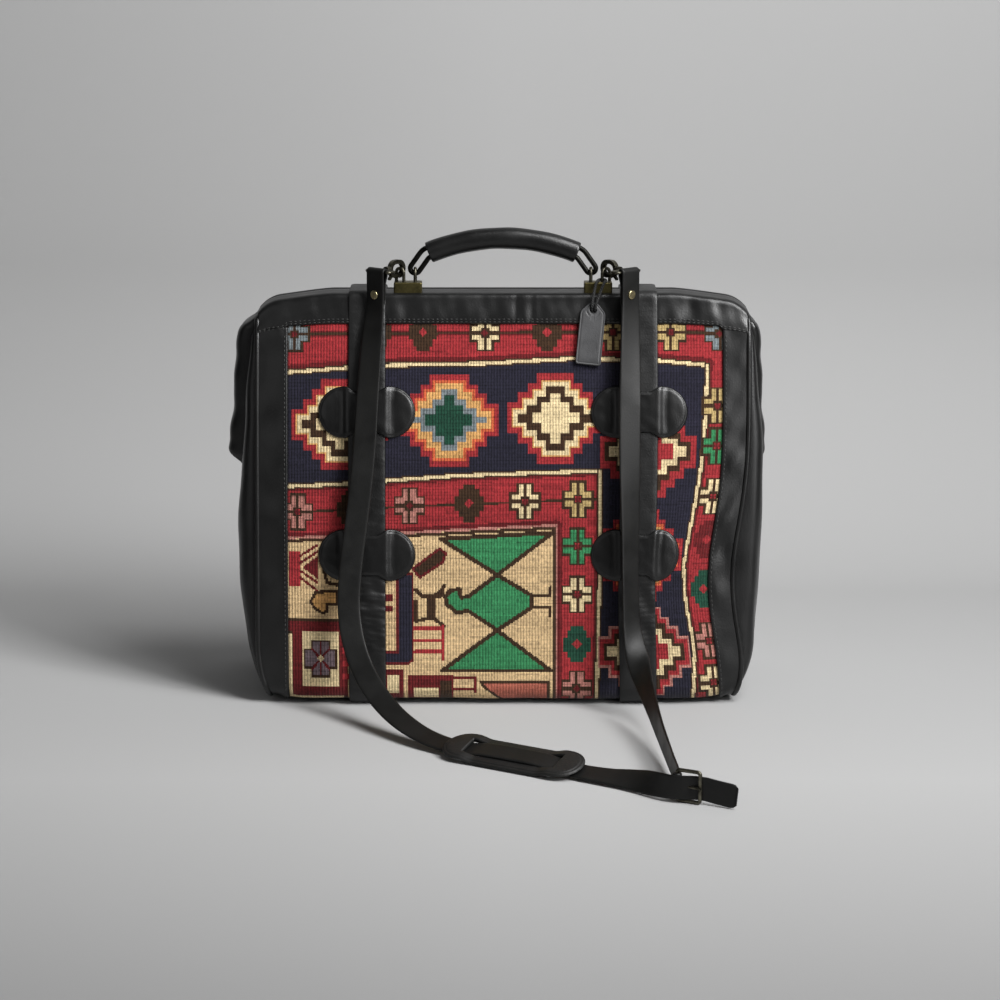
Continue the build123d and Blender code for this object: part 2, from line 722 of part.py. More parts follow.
def adjuster_frame():
    """Wire frame of the adjuster buckle."""
    height = adjuster_inner_width + 2 * adjuster_wire_radius
    half = adjuster_length / 2
    corners = [(-half, 0), (half, 0), (half, height), (-half, height)]
    path = Plane.XZ * FilletPolyline(*corners, radius=adjuster_corner_radius, close=True)
    profile = Plane(origin=path @ 0, z_dir=path % 0) * Circle(adjuster_wire_radius)
    return at_adjuster() * sweep(profile, path=path)


def prong_rod(grow):
    """Rod of the prong from the heel bar to rest on the front bar, with its radius grown."""
    middle = adjuster_wire_radius + adjuster_inner_width / 2
    rest = -(adjuster_wire_radius + adjuster_prong_radius + prong_rest_play)
    start = Vector(-adjuster_length / 2 + (adjuster_wire_radius + prong_eye_radius) / 2, 0, middle)
    end = Vector(adjuster_length / 2 + adjuster_wire_radius, rest, middle)
    plane = Plane(origin=start, z_dir=end - start)
    return extrude(plane * Circle(adjuster_prong_radius + grow), amount=(end - start).length)


def heel_ring(radius, level, height):
    """Upright cylinder about the adjuster's heel bar."""
    plane = Plane.XY.offset(level) * Pos(-adjuster_length / 2, 0)
    return extrude(plane * Circle(radius), amount=height)


def adjuster_prong():
    """Prong with an eye round the heel bar, lying through the strap on the front bar."""
    low = adjuster_wire_radius + (adjuster_inner_width - prong_eye_height) / 2
    eye = heel_ring(prong_eye_radius, low, prong_eye_height)
    bore = heel_ring(adjuster_wire_radius + adjuster_bar_play, low - overrun, 2 * overrun)
    return at_adjuster() * (prong_rod(0) + eye - bore)


def adjuster_sleeve():
    """Turn of the short strap round the heel bar, then the cuts in it for the bar and the prong."""
    low = adjuster_wire_radius + (adjuster_inner_width - strap_width) / 2
    inner = adjuster_wire_radius + adjuster_bar_play
    turn = heel_ring(inner + strap_thickness, low, strap_width)
    room_height = prong_eye_height + 2 * prong_eye_play
    room_low = adjuster_wire_radius + (adjuster_inner_width - room_height) / 2
    bar_room = heel_ring(inner, low - overrun, strap_width + 2 * overrun)
    eye_room = heel_ring(prong_eye_radius + prong_eye_play, room_low, room_height)
    cuts = [at_adjuster() * cut for cut in (bar_room, eye_room, prong_rod(adjuster_prong_play))]
    return at_adjuster() * turn, cuts


def luggage_tag():
    """Flat tag with cut top corners and a hole, lying against the front of the bag."""
    half = tag_width / 2
    corners = [(-half, -tag_corner), (-half + tag_corner, 0), (half - tag_corner, 0), (half, -tag_corner)]
    corners += [(half, -tag_length), (-half, -tag_length)]
    shape = make_face(Polyline(*corners, close=True)) - Pos(0, -tag_hole_drop) * Circle(tag_hole_radius)
    shape = Pos(tag_x, tag_top_z) * Rot(0, 0, tag_tilt) * shape
    reach = tag_length
    return layer(tag_gap, tag_gap + tag_thickness, tag_x - reach, tag_x + reach) & over(shape, -1)


def tag_cord():
    """Cord from the tag's hole over the bag's edge, round the ring's front leg and back."""
    points = [Vector(*point) for point in tag_cord_route]
    radii = []
    for before, point, after in zip(points, points[1:], points[2:]):
        turn = (point - before).get_angle(after - point)
        run = min((point - before).length, (after - point).length)
        radii.append(cord_run_share * run / math.tan(math.radians(turn) / 2))
    path = FilletPolyline(*points, radius=radii)
    profile = Plane(origin=path @ 0, z_dir=path % 0) * Circle(tag_cord_radius)
    return sweep(profile, path=path)


def build():
    """Every node of the bag by name."""
    nodes = body_panels()
    sides = (("left", -1), ("right", 1))
    for piece, shape in gusset_pieces().items():
        nodes[f"right_{piece}"] = shape
        nodes[f"left_{piece}"] = mirror(shape, about=Plane.YZ)
    outer_leg = panel_half_width - frame_end_gap
    nodes["front_frame"] = frame_half(outer_leg, -1)
    nodes["rear_frame"] = frame_half(outer_leg - frame_leg - frame_leg_gap, 1)
    nodes["base_board"] = base_board()
    core = handle_core()
    nodes["handle_core"] = core
    nodes["handle_grip"] = handle_grip(core)
    routes = {"left": long_strap_route, "right": short_strap_route}
    straps = {}
    for name, end in sides:
        nodes[f"{name}_hinge_pin"] = hinge_pin(end)
        nodes[f"{name}_belt"] = belt(end * belt_x)
        for piece, shape in belt_buckle(end * belt_x).items():
            nodes[f"{name}_{piece}"] = shape
        for face, side in (("front", -1), ("back", 1)):
            for level, z in zip(("upper", "lower"), keeper_z):
                nodes[f"{face}_{level}_{name}_keeper"] = keeper(end * belt_x, z, side)
        nodes[f"{name}_bracket"] = bracket(end)
        nodes[f"{name}_handle_eye"] = staple(end * eye_x, 0)
        nodes[f"{name}_strap_ring"] = staple(end * ring_x, -end * snap_yaw)
        nodes[f"{name}_snap_hook"] = at_snap(end) * snap_hook()
        nodes[f"{name}_snap_gate"] = at_snap(end) * snap_gate()
        nodes[f"{name}_snap_eye"] = at_snap(end) * snap_eye()
        nodes[f"{name}_strap_rivet"] = at_snap(end) * strap_rivet()
        straps[name] = strap_run(end, routes[name])
    turn, cuts = adjuster_sleeve()
    nodes["long_strap"] = straps["left"] - at_adjuster() * prong_rod(adjuster_prong_play)
    nodes["short_strap"] = straps["right"] + turn
    for cut in cuts:
        nodes["short_strap"] -= cut
    nodes["shoulder_pad"] = shoulder_pad()
    nodes["adjuster_frame"] = adjuster_frame()
    nodes["adjuster_prong"] = adjuster_prong()
    nodes["luggage_tag"] = luggage_tag()
    nodes["tag_cord"] = tag_cord()
    return nodes


os.makedirs("parts", exist_ok=True)
for name, shape in build().items():
    export_step(shape, f"parts/{name}.step")
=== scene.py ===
import json
import math

import bpy
import numpy as np
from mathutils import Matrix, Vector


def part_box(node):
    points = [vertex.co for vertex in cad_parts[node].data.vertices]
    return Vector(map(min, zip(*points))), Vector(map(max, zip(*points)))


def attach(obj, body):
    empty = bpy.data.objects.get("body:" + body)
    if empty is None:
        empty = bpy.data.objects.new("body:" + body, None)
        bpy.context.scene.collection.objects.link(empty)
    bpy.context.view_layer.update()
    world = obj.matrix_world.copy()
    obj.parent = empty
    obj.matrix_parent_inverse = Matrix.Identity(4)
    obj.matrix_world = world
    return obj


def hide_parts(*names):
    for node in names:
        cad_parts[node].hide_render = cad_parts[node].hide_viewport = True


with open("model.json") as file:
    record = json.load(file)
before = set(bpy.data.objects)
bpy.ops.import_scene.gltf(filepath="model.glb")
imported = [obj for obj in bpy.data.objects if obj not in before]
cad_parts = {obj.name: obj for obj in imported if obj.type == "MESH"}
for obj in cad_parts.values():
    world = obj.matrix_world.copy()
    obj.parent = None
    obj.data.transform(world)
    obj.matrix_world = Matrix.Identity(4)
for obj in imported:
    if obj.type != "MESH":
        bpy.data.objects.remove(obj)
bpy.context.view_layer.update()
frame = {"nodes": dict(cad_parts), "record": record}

bl_info = {
    "name": "Carpet bag",
    "version": (1, 0, 0),
    "blender": (4, 5, 0),
    "location": "View3D > Sidebar > Carpet bag",
    "description": "Dresses a woven travel bag with leather trim, belts, handle and shoulder strap",
    "category": "Add Mesh",
}

BAND_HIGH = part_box("front_top_band")[1]
BELT_LOW, BELT_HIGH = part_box("right_belt")
GRIP_LOW, GRIP_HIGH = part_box("handle_grip")
FACES = (("front", -1), ("back", 1))
HANDS = (("left", -1), ("right", 1))
mm = 0.001


def size(name, description, default):
    """A length that a user can change, in metres."""
    return bpy.props.FloatProperty(
        name=name, description=description, default=default, unit="LENGTH", precision=5
    )


def tint(name, description, default):
    """A colour that a user can change, as shown on screen."""
    return bpy.props.FloatVectorProperty(
        name=name, description=description, default=default, subtype="COLOR_GAMMA", size=3, min=0, max=1
    )


class BagSizes(bpy.types.PropertyGroup):
    """Sizes of the bag's soft pieces, in the frame of the solids that carry them."""

    body_height: size("Body height", "Top of the mouth above the floor", BAND_HIGH.z)
    half_width: size("Half width", "Middle of the bag to the side seams", BAND_HIGH.x)
    base_level: size("Base level", "Height of the base, which stands on the belts", 0.003)
    base_depth: size("Base depth", "Front to back at the base", 0.180)
    top_depth: size("Top depth", "Front to back at the mouth", 0.046)
    bulge: size("Bulge", "How far the front stands out of its chord", 0.012)
    top_edge: size("Top edge", "Radius of the edge of the mouth", 0.005)
    base_edge: size("Base edge", "Radius of the edge of the base", 0.014)
    shoulder_x: size("Shoulder", "Where the top starts to slope down", 0.150)
    shoulder_drop: size("Shoulder drop", "How far the top slopes down to the side seams", 0.0102)
    corner_radius: size("Corner radius", "Radius of the upper corners", 0.026)
    pillow: bpy.props.FloatProperty(
        name="Pillow", description="Share by which the depth shrinks towards the side seams", default=0.10
    )
    corner_pinch: size("Corner pinch", "How far the lower corners are drawn in", 0.011)
    dent_depth: size("Dent depth", "How far the right side seam is pushed in", 0.014)
    dent_height: size("Dent height", "Height of the dent above the floor", 0.112)
    dent_reach: size("Dent reach", "Half height of the dent", 0.070)
    carpet_half_width: size("Carpet half width", "Middle of the bag to the carpet's side edge", 0.1965)
    carpet_top: size("Carpet top", "Height of the carpet's upper edge, under the band", 0.3375)
    carpet_foot: size("Carpet foot", "Height of the carpet's lower edge", 0.0055)
    stitch_cell: size("Stitch", "Size of one stitch of the weave", 0.0013)
    band_foot: size("Band foot", "Height of the top band's lower edge", 0.3345)
    trim_width: size("Trim width", "Width of the leather trim beside the carpet", 0.0235)
    leather: size("Leather", "Thickness of the trim leather", 0.0022)
    gusset_bulge: size("Gusset bulge", "How far a side panel stands out", 0.0145)
    gusset_reach: size("Gusset reach", "Twice the radius of a side panel's dome", 3.0)
    welt_radius: size("Welt radius", "Radius of the piping along the side seams", 0.0026)
    belt_x: size("Belt place", "Middle of the bag to the middle of a belt", (BELT_LOW.x + BELT_HIGH.x) / 2)
    belt_width: size("Belt width", "Width of a belt", BELT_HIGH.x - BELT_LOW.x)
    belt_thickness: size("Belt thickness", "Thickness of a belt", 0.003)
    strap_width: size("Strap width", "Width of the shoulder strap", 0.020)
    strap_thickness: size("Strap thickness", "Thickness of the shoulder strap", 0.0022)
    stitch_length: size("Stitch length", "Length of one stitch of thread", 0.0030)
    stitch_pitch: size("Stitch pitch", "From one stitch of thread to the next", 0.0042)
    thread_radius: size("Thread radius", "Radius of the sewing thread", 0.00042)


class KilimColours(bpy.types.PropertyGroup):
    """Dyes of the woven carpet."""

    red: tint("Red", "Borders", (0.55, 0.155, 0.17))
    maroon: tint("Maroon", "Dark red lines and figures", (0.36, 0.09, 0.10))
    navy: tint("Navy", "Ground of the medallions", (0.115, 0.110, 0.160))
    cream: tint("Cream", "Lines and steps", (0.80, 0.72, 0.56))
    beige: tint("Beige", "Ground of the figures", (0.75, 0.64, 0.48))
    brown: tint("Dark brown", "Outlines", (0.21, 0.14, 0.085))
    green: tint("Green", "Bird figures", (0.19, 0.46, 0.29))
    dark_green: tint("Dark green", "Middle of a medallion", (0.09, 0.24, 0.18))
    orange: tint("Orange", "Ring of a medallion", (0.72, 0.34, 0.21))
    gold: tint("Gold", "Ring of a medallion", (0.74, 0.56, 0.34))
    grey: tint("Grey blue", "Ring of a medallion and flowers", (0.41, 0.44, 0.45))
    pink: tint("Pink", "Flowers and lines", (0.64, 0.43, 0.39))
    salmon: tint("Salmon", "Figure at the foot", (0.59, 0.33, 0.27))
    sand: tint("Sand", "Flowers", (0.66, 0.57, 0.38))
    violet: tint("Grey violet", "Flower in the square", (0.42, 0.36, 0.38))


class LeatherColours(bpy.types.PropertyGroup):
    """Colours of the leather, thread and metal."""

    black: tint("Black leather", "Body trim, belts and tabs", (0.050, 0.050, 0.050))
    strap: tint("Strap leather", "Shoulder strap and pad", (0.065, 0.065, 0.062))
    tag: tint("Tag leather", "Luggage tag", (0.24, 0.24, 0.245))
    thread: tint("Thread", "Sewing thread", (0.16, 0.16, 0.155))
    gunmetal: tint("Gunmetal", "Hooks, eyes and rings", (0.34, 0.33, 0.29))
    bronze: tint("Bronze", "Brackets", (0.40, 0.37, 0.24))
    brass: tint("Brass", "Rivets", (0.72, 0.67, 0.52))
    floor: tint("Floor", "Floor and backdrop", (0.66, 0.66, 0.66))


def linear(colour):
    """Light values of a colour given as shown on screen: a straight foot, then a power of 2.4."""
    shown = np.asarray(colour, float)
    return np.where(shown <= 0.04045, shown / 12.92, ((shown + 0.055) / 1.055) ** 2.4)


def smooth_step(low, high, value):
    """0 below low, 1 above high and a smooth S between them."""
    share = np.clip((value - low) / (high - low), 0, 1)
    return share * share * (3 - 2 * share)


def bump(value, middle, width):
    """Bell of height 1 about a middle."""
    return np.exp(-(((value - middle) / width) ** 2))


def waves(first, second, seed, count, longest):
    """Smooth random relief between about -1 and 1: a sum of count sines of random heading and phase, whose
    lengths are from a third of longest up to longest."""
    draw = np.random.default_rng(seed)
    total = np.zeros(np.broadcast(first, second).shape)
    for turn, phase, share in draw.random((count, 3)):
        pitch = longest * (1 / 3 + share * 2 / 3)
        run = first * math.cos(turn * math.pi) + second * math.sin(turn * math.pi)
        total += np.sin(2 * math.pi * (run / pitch + phase))
    return total / math.sqrt(count)


def spread(count):
    """Shares from -1 to 1 that lie closer together towards both ends."""
    return np.sin(np.linspace(-math.pi / 2, math.pi / 2, count))


def circle(count):
    """Points round a circle of radius 1."""
    turn = np.arange(count) * 2 * math.pi / count
    return np.stack([np.cos(turn), np.sin(turn)], 1)


def grid(*parts):
    """Grid of points from their parts, each of which is spread over the whole grid."""
    return np.stack(np.broadcast_arrays(*parts), -1)


# Meshes


def grid_faces(rows, columns, wrap_rows=False, wrap_columns=False):
    """Quads of a grid of points, by index, with the column and row of each corner."""
    row = np.arange(rows if wrap_rows else rows - 1)
    column = np.arange(columns if wrap_columns else columns - 1)
    r, c = np.meshgrid(row, column, indexing="ij")
    corner_row = np.stack([r, r + 1, r + 1, r], -1)
    corner_column = np.stack([c, c, c + 1, c + 1], -1)
    faces = (corner_row % rows) * columns + corner_column % columns
    return faces.reshape(-1, 4), corner_row.reshape(-1, 4), corner_column.reshape(-1, 4)


def add_mesh(name, points, faces, material, corner_uv=None, colours=None):
    """Object of points and groups of like faces. It turns every face round where their volume is negative,
    so that they point outwards, and leaves out points that no face uses."""
    points = points.reshape(-1, 3)
    volume = 0
    for group in faces:
        for k in range(1, group.shape[1] - 1):
            first, second, third = [points[group[:, corner]] for corner in (0, k, k + 1)]
            volume += np.einsum("ij,ij->", first, np.cross(second, third))
    turned = volume < 0
    used = np.unique(np.concatenate([group.ravel() for group in faces]))
    new = np.full(len(points), -1)
    new[used] = np.arange(len(used))
    lists = [row for group in faces for row in (new[group][:, ::-1] if turned else new[group]).tolist()]
    mesh = bpy.data.meshes.new(name)
    mesh.from_pydata(points[used].tolist(), [], lists)
    mesh.polygons.foreach_set("use_smooth", np.full(len(lists), True))
    if corner_uv is not None:
        uv = np.concatenate([(group[:, ::-1] if turned else group).reshape(-1, 2) for group in corner_uv])
        mesh.uv_layers.new(name="UVMap").data.foreach_set("uv", uv.astype(np.float32).ravel())
    if colours is not None:
        shades = mesh.color_attributes.new("dye_and_groove_shade", "FLOAT_COLOR", "CORNER")
        shades.data.foreach_set("color", colours.astype(np.float32).ravel())
    mesh.materials.append(material)
    mesh.update()
    obj = bpy.data.objects.new(name, mesh)
    bpy.context.scene.collection.objects.link(obj)
    return obj


def loft(name, loops, material, closed=False):
    """Skin through a row of closed loops. Unless the row is closed, both ends are filled. The UV runs round
    the loops and along them, in metres."""
    rows, columns = loops.shape[:2]
    faces, corner_row, corner_column = grid_faces(rows, columns, closed, True)
    ring = np.linalg.norm(np.diff(loops[rows // 2], axis=0, append=loops[rows // 2][:1]), axis=1)
    around = np.concatenate([[0], np.cumsum(ring)])
    middle = loops.mean(1)
    step = np.linalg.norm(np.diff(middle, axis=0, append=middle[:1]), axis=1)
    along = np.concatenate([[0], np.cumsum(step)])
    uv = [np.stack([around[corner_column], along[corner_row]], -1)]
    groups = [faces]
    if not closed:
        ends = np.stack([np.arange(columns)[::-1], np.arange(columns) + (rows - 1) * columns])
        groups.append(ends)
        uv.append(np.zeros((*ends.shape, 2)))
    return add_mesh(name, loops, groups, material, uv)


def slab(name, outer, inner, material, uv, keep=None):
    """Closed sheet between an outer and an inner grid: the quads of both where keep is true, and a wall
    along each edge between a kept quad and a missing one."""
    rows, columns = outer.shape[:2]
    keep = np.ones((rows - 1, columns - 1), bool) if keep is None else keep
    index = np.arange(rows * columns).reshape(rows, columns)
    under = rows * columns
    quads = np.stack([index[:-1, :-1], index[1:, :-1], index[1:, 1:], index[:-1, 1:]], -1)[keep]
    room = np.pad(keep, 1).astype(int)
    side = room[1:-1, 1:] - room[1:-1, :-1]
    end = room[1:, 1:-1] - room[:-1, 1:-1]
    tall = np.stack([index[1:], index[:-1]], -1)
    wide = np.stack([index[:, :-1], index[:, 1:]], -1)
    edges = np.concatenate([tall[side > 0], tall[side < 0][:, ::-1], wide[end > 0], wide[end < 0][:, ::-1]])
    walls = np.concatenate([edges, edges[:, ::-1] + under], 1)
    faces = np.concatenate([quads, quads[:, ::-1] + under, walls])
    spots = np.concatenate([uv.reshape(-1, 2)] * 2)
    points = np.concatenate([outer.reshape(-1, 3), inner.reshape(-1, 3)])
    return add_mesh(name, points, [faces], material, [spots[faces]])


def strap_section(width, thickness, crease=0.0, crease_inset=0.0017, count=23):
    """Loop across a leather strap: a flat top and foot that round off at the edges, with a pressed line
    along each edge of the top."""
    squareness, crease_width = 14, 0.00045
    share = spread(count)
    across = share * width / 2
    rise = thickness / 2 * np.sqrt(np.clip(1 - np.abs(share) ** squareness, 0, 1))
    line = crease * bump(np.abs(across), width / 2 - crease_inset, crease_width)
    top = np.stack([across, rise - line], 1)
    foot = np.stack([across, -rise], 1)[-2:0:-1]
    return np.concatenate([top, foot])


def sweep(section, middle, across, up):
    """Loops of a section carried along a path, with its two directions at each point."""
    return middle[:, None] + section[None, :, :1] * across[:, None] + section[None, :, 1:] * up[:, None]


def unit(vectors):
    return vectors / np.linalg.norm(vectors, axis=-1, keepdims=True)


def route_line(points):
    """Points read from the NURBS spline that has the route's points as its control points."""
    data = bpy.data.curves.new("route", "CURVE")
    data.dimensions = "3D"
    data.resolution_u = 12
    spline = data.splines.new("NURBS")
    spline.points.add(len(points) - 1)
    spline.points.foreach_set("co", np.column_stack([points, np.ones(len(points))]).ravel())
    spline.order_u = 3
    spline.use_endpoint_u = True
    carrier = bpy.data.objects.new("route", data)
    mesh = bpy.data.meshes.new_from_object(carrier)
    line = np.empty(len(mesh.vertices) * 3)
    mesh.vertices.foreach_get("co", line)
    bpy.data.objects.remove(carrier)
    bpy.data.curves.remove(data)
    bpy.data.meshes.remove(mesh)
    return line.reshape(-1, 3)


def lengths(line):
    """Distance along a line of points, from 0."""
    return np.concatenate([[0], np.cumsum(np.linalg.norm(np.diff(line, axis=0), axis=1))])


def along_line(line, values, spots):
    """Values given at a line's points, read at distances along it."""
    run = lengths(line)
    return np.stack([np.interp(spots, run, values[:, k]) for k in range(values.shape[1])], 1)


def stitching(name, rows):
    """Sewn thread along rows of points with their normals: each stitch is a short rod, thin and sunk at its
    ends."""
    sizes = bpy.context.scene.bag_sizes
    spots, headings, normals = [], [], []
    half = sizes.stitch_pitch / 4
    for line, up in rows:
        at = np.arange(sizes.stitch_pitch / 2, lengths(line)[-1], sizes.stitch_pitch)
        spots.append(along_line(line, line, at))
        headings.append(unit(along_line(line, line, at + half) - along_line(line, line, at - half)))
        normals.append(unit(along_line(line, up, at)))
    spot, along, up = [np.concatenate(group) for group in (spots, headings, normals)]
    across = unit(np.cross(along, up))
    shares = np.array([-0.5, -0.42, -0.2, 0.2, 0.42, 0.5])
    thickness = np.array([0.3, 0.8, 1.0, 1.0, 0.8, 0.3]) * sizes.thread_radius
    sink = np.array([-0.9, -0.1, 0.35, 0.35, -0.1, -0.9]) * sizes.thread_radius
    around = 6
    aside, above = circle(around).T
    rods = spot[:, None, None] + along[:, None, None] * (shares * sizes.stitch_length)[None, :, None, None]
    rods = rods + up[:, None, None] * (sink[:, None] + thickness[:, None] * above)[None, :, :, None]
    rods = rods + across[:, None, None] * (thickness[:, None] * aside)[None, :, :, None]
    count = len(shares) * around
    shift = (np.arange(len(spot)) * count)[:, None, None]
    sides = (grid_faces(len(shares), around, False, True)[0][None] + shift).reshape(-1, 4)
    cap = np.stack([np.arange(around)[::-1], np.arange(around) + count - around])
    caps = (cap[None] + shift).reshape(-1, around)
    return place(add_mesh(name, rods, [sides, caps], thread()), "bag", "black_leather")


def place(obj, body, slot, *nodes):
    """Rides a piece on a body and hides the nodes that it stands for; its slot is not used."""
    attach(obj, body)
    if nodes:
        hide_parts(*nodes)
    return obj


# The bag's own surface


def half_profile():
    """Front half of the side outline, from the mouth to the middle of the base: a line on top, the arc of
    the mouth's edge, the large arc of the front, the arc of the base's edge and a line below. Rows are the
    length along it, y, z and the two parts of the outward normal."""
    sizes = bpy.context.scene.bag_sizes
    low, high = sizes.base_level, sizes.body_height
    chord_y = (sizes.base_depth - sizes.top_depth) / 2
    chord_z = high - low
    chord = math.hypot(chord_y, chord_z)
    reach = (chord**2 / 4 + sizes.bulge**2) / (2 * sizes.bulge)
    centre_y = -(sizes.base_depth + sizes.top_depth) / 4 + (reach - sizes.bulge) * chord_z / chord
    centre_z = (low + high) / 2 - (reach - sizes.bulge) * chord_y / chord
    edges = []
    for radius, z in ((sizes.top_edge, high - sizes.top_edge), (sizes.base_edge, low + sizes.base_edge)):
        edges.append((centre_y - math.sqrt((reach - radius) ** 2 - (z - centre_z) ** 2), z))
    turns = [math.atan2(z - centre_z, y - centre_y) for y, z in edges]
    up, down = math.pi / 2, 3 * math.pi / 2
    y, z, angle = [[0]], [[high]], [[up]]
    for (arc_y, arc_z), radius, turn in (
        (edges[0], sizes.top_edge, np.linspace(up, turns[0], 13)),
        ((centre_y, centre_z), reach, np.linspace(turns[0], turns[1], 160)[1:]),
        (edges[1], sizes.base_edge, np.linspace(turns[1], down, 25)[1:]),
    ):
        y.append(arc_y + radius * np.cos(turn))
        z.append(arc_z + radius * np.sin(turn))
        angle.append(turn)
    y, z, angle = [np.concatenate(pieces) for pieces in (y + [[0]], z + [[low]], angle + [[down]])]
    return np.stack([lengths(np.stack([y, z], 1)), y, z, np.cos(angle), np.sin(angle)])


def length_at(profile, z):
    """Length along the half profile down to a height on the front."""
    return np.interp(-np.asarray(z), -profile[2], profile[0])


def settle(points):
    """The bag's slack: its depth shrinks a little and its top slopes and rounds down towards the side
    seams, its lower corners are drawn in, and its right side seam is pushed in by a bell shaped dent that
    fades towards the middle and the back."""
    sizes = bpy.context.scene.bag_sizes
    slope_start, top_zone, foot_zone, shrink_start, pinch_start = 0.012, 0.045, 0.055, 0.14, 0.192
    dent_start, dent_front, dent_end = 0.09, 0.055, 0.008
    foot_lift, lift_start, lift_end, lift_zone = 0.004, 0.175, 0.225, 0.03
    x, y, z = points[..., 0], points[..., 1], points[..., 2]
    far = np.abs(x)
    seam = sizes.half_width
    over = np.maximum(far - sizes.shoulder_x, 0)
    slope = sizes.shoulder_drop / (seam - sizes.shoulder_x)
    radius = sizes.corner_radius
    past = np.clip(far - seam + 0.75 * radius, 0, radius * 0.96)
    drop = slope * over**2 / (over + slope_start) + radius - np.sqrt(radius**2 - past**2)
    fall = drop * smooth_step(sizes.body_height - top_zone, sizes.body_height, z)
    out = 0.25 * fall * np.clip(y / (sizes.top_depth / 2), -1, 1)
    dent = sizes.dent_depth * bump(z, sizes.dent_height, sizes.dent_reach)
    dent = dent * smooth_step(dent_start, seam, x)
    dent = dent * (0.3 + 0.7 * smooth_step(0.0, dent_front, -y))
    dent = dent * (1 - 0.8 * smooth_step(seam, seam + dent_end, x))
    pinch = sizes.corner_pinch * np.clip(1 - z / foot_zone, 0, 1) ** 2 * smooth_step(pinch_start, seam, far)
    lift = foot_lift * smooth_step(lift_start, lift_end, far) * (1 - smooth_step(0, lift_zone, z))
    shrink = 1 - sizes.pillow * np.clip((far - shrink_start) / (seam - shrink_start), 0, 1) ** 2
    return np.stack([x - dent - pinch * np.sign(x), y * shrink + out, z - fall + lift], -1)


def on_bag(profile, x, run, rise, side):
    """Points of the bag's surface: across, along the half profile and above it, at the front (-1) or the
    back (1)."""
    x, run, rise = np.broadcast_arrays(x, run, rise)
    y, z, out, up = [np.interp(run, profile[0], row) for row in profile[1:]]
    return settle(np.stack([x, -side * (y + rise * out), z + rise * up], -1))


def normals_on_bag(profile, run, side):
    """Outward normals at lengths along the half profile."""
    out, up = [np.interp(run, profile[0], row) for row in profile[3:]]
    return np.stack([np.zeros_like(out), -side * out, up], -1)


# Materials


FLOAT, VECTOR, COLOUR = "NodeSocketFloat", "NodeSocketVector", "NodeSocketColor"


def set_inputs(tree, node, inputs):
    """Sets a node's inputs to values, or links them from other nodes' outputs."""
    for key, value in inputs.items():
        if isinstance(value, bpy.types.NodeSocket):
            tree.links.new(value, node.inputs[key])
        else:
            node.inputs[key].default_value = value


def add_node(tree, kind, inputs=None, **settings):
    """Node with its settings and its inputs."""
    made = tree.nodes.new(kind)
    for key, value in settings.items():
        setattr(made, key, value)
    set_inputs(tree, made, inputs or {})
    return made


def math_node(tree, operation, *values):
    return add_node(tree, "ShaderNodeMath", dict(enumerate(values)), operation=operation).outputs[0]


def ramp(tree, value, low, high, from_value=0.0, to_value=1.0):
    """Value mapped from one range to another, held at both ends."""
    keys = {"Value": value, "From Min": low, "From Max": high, "To Min": from_value, "To Max": to_value}
    return add_node(tree, "ShaderNodeMapRange", keys, clamp=True).outputs[0]


def noise(tree, where, scale, detail, roughness=0.5):
    keys = {"Vector": where, "Scale": scale, "Detail": detail, "Roughness": roughness}
    return add_node(tree, "ShaderNodeTexNoise", keys).outputs["Fac"]


def relief(tree, height, distance, strength=1.0):
    keys = {"Height": height, "Distance": distance, "Strength": strength}
    return add_node(tree, "ShaderNodeBump", keys).outputs["Normal"]


def scaled(tree, colour, tone):
    """A colour times a tone that changes over the surface."""
    return add_node(tree, "ShaderNodeVectorMath", {0: colour, "Scale": tone}, operation="SCALE").outputs[0]


def object_place(tree):
    return add_node(tree, "ShaderNodeTexCoord").outputs["Object"]


def map_place(tree):
    return add_node(tree, "ShaderNodeUVMap", uv_map="UVMap").outputs["UV"]


def split_place(tree, where):
    return add_node(tree, "ShaderNodeSeparateXYZ", {0: where}).outputs


def new_group(name, inputs, outputs):
    """Shader node group with named value, vector and colour sockets, its input node and its output node."""
    group = bpy.data.node_groups.new(name, "ShaderNodeTree")
    for way, sockets in (("INPUT", inputs), ("OUTPUT", outputs)):
        for key, kind in sockets.items():
            group.interface.new_socket(key, in_out=way, socket_type=kind)
    return group, group.nodes.new("NodeGroupInput"), group.nodes.new("NodeGroupOutput")


def grain_group():
    """Leather grain: rounded cells with fine pores for height, and slow patches for tone and gloss."""
    group = bpy.data.node_groups.get("leather grain")
    if group:
        return group
    group, start, end = new_group(
        "leather grain",
        {"Vector": VECTOR, "Cell scale": FLOAT, "Patch scale": FLOAT},
        {"Height": FLOAT, "Tone": FLOAT, "Gloss": FLOAT},
    )
    where, cell_scale, patch_scale = start.outputs[:3]
    keys = {"Vector": where, "Scale": cell_scale, "Randomness": 1.0}
    cells = add_node(group, "ShaderNodeTexVoronoi", keys, feature="SMOOTH_F1").outputs["Distance"]
    pores = noise(group, where, cell_scale, 2.0)
    patch = noise(group, where, patch_scale, 5.0, 0.62)
    set_inputs(group, end, {
        "Height": math_node(group, "MULTIPLY_ADD", cells, -0.7, pores),
        "Tone": ramp(group, patch, 0.3, 0.7, 0.72, 1.3),
        "Gloss": ramp(group, patch, 0.25, 0.75, -0.07, 0.10),
    })
    return group


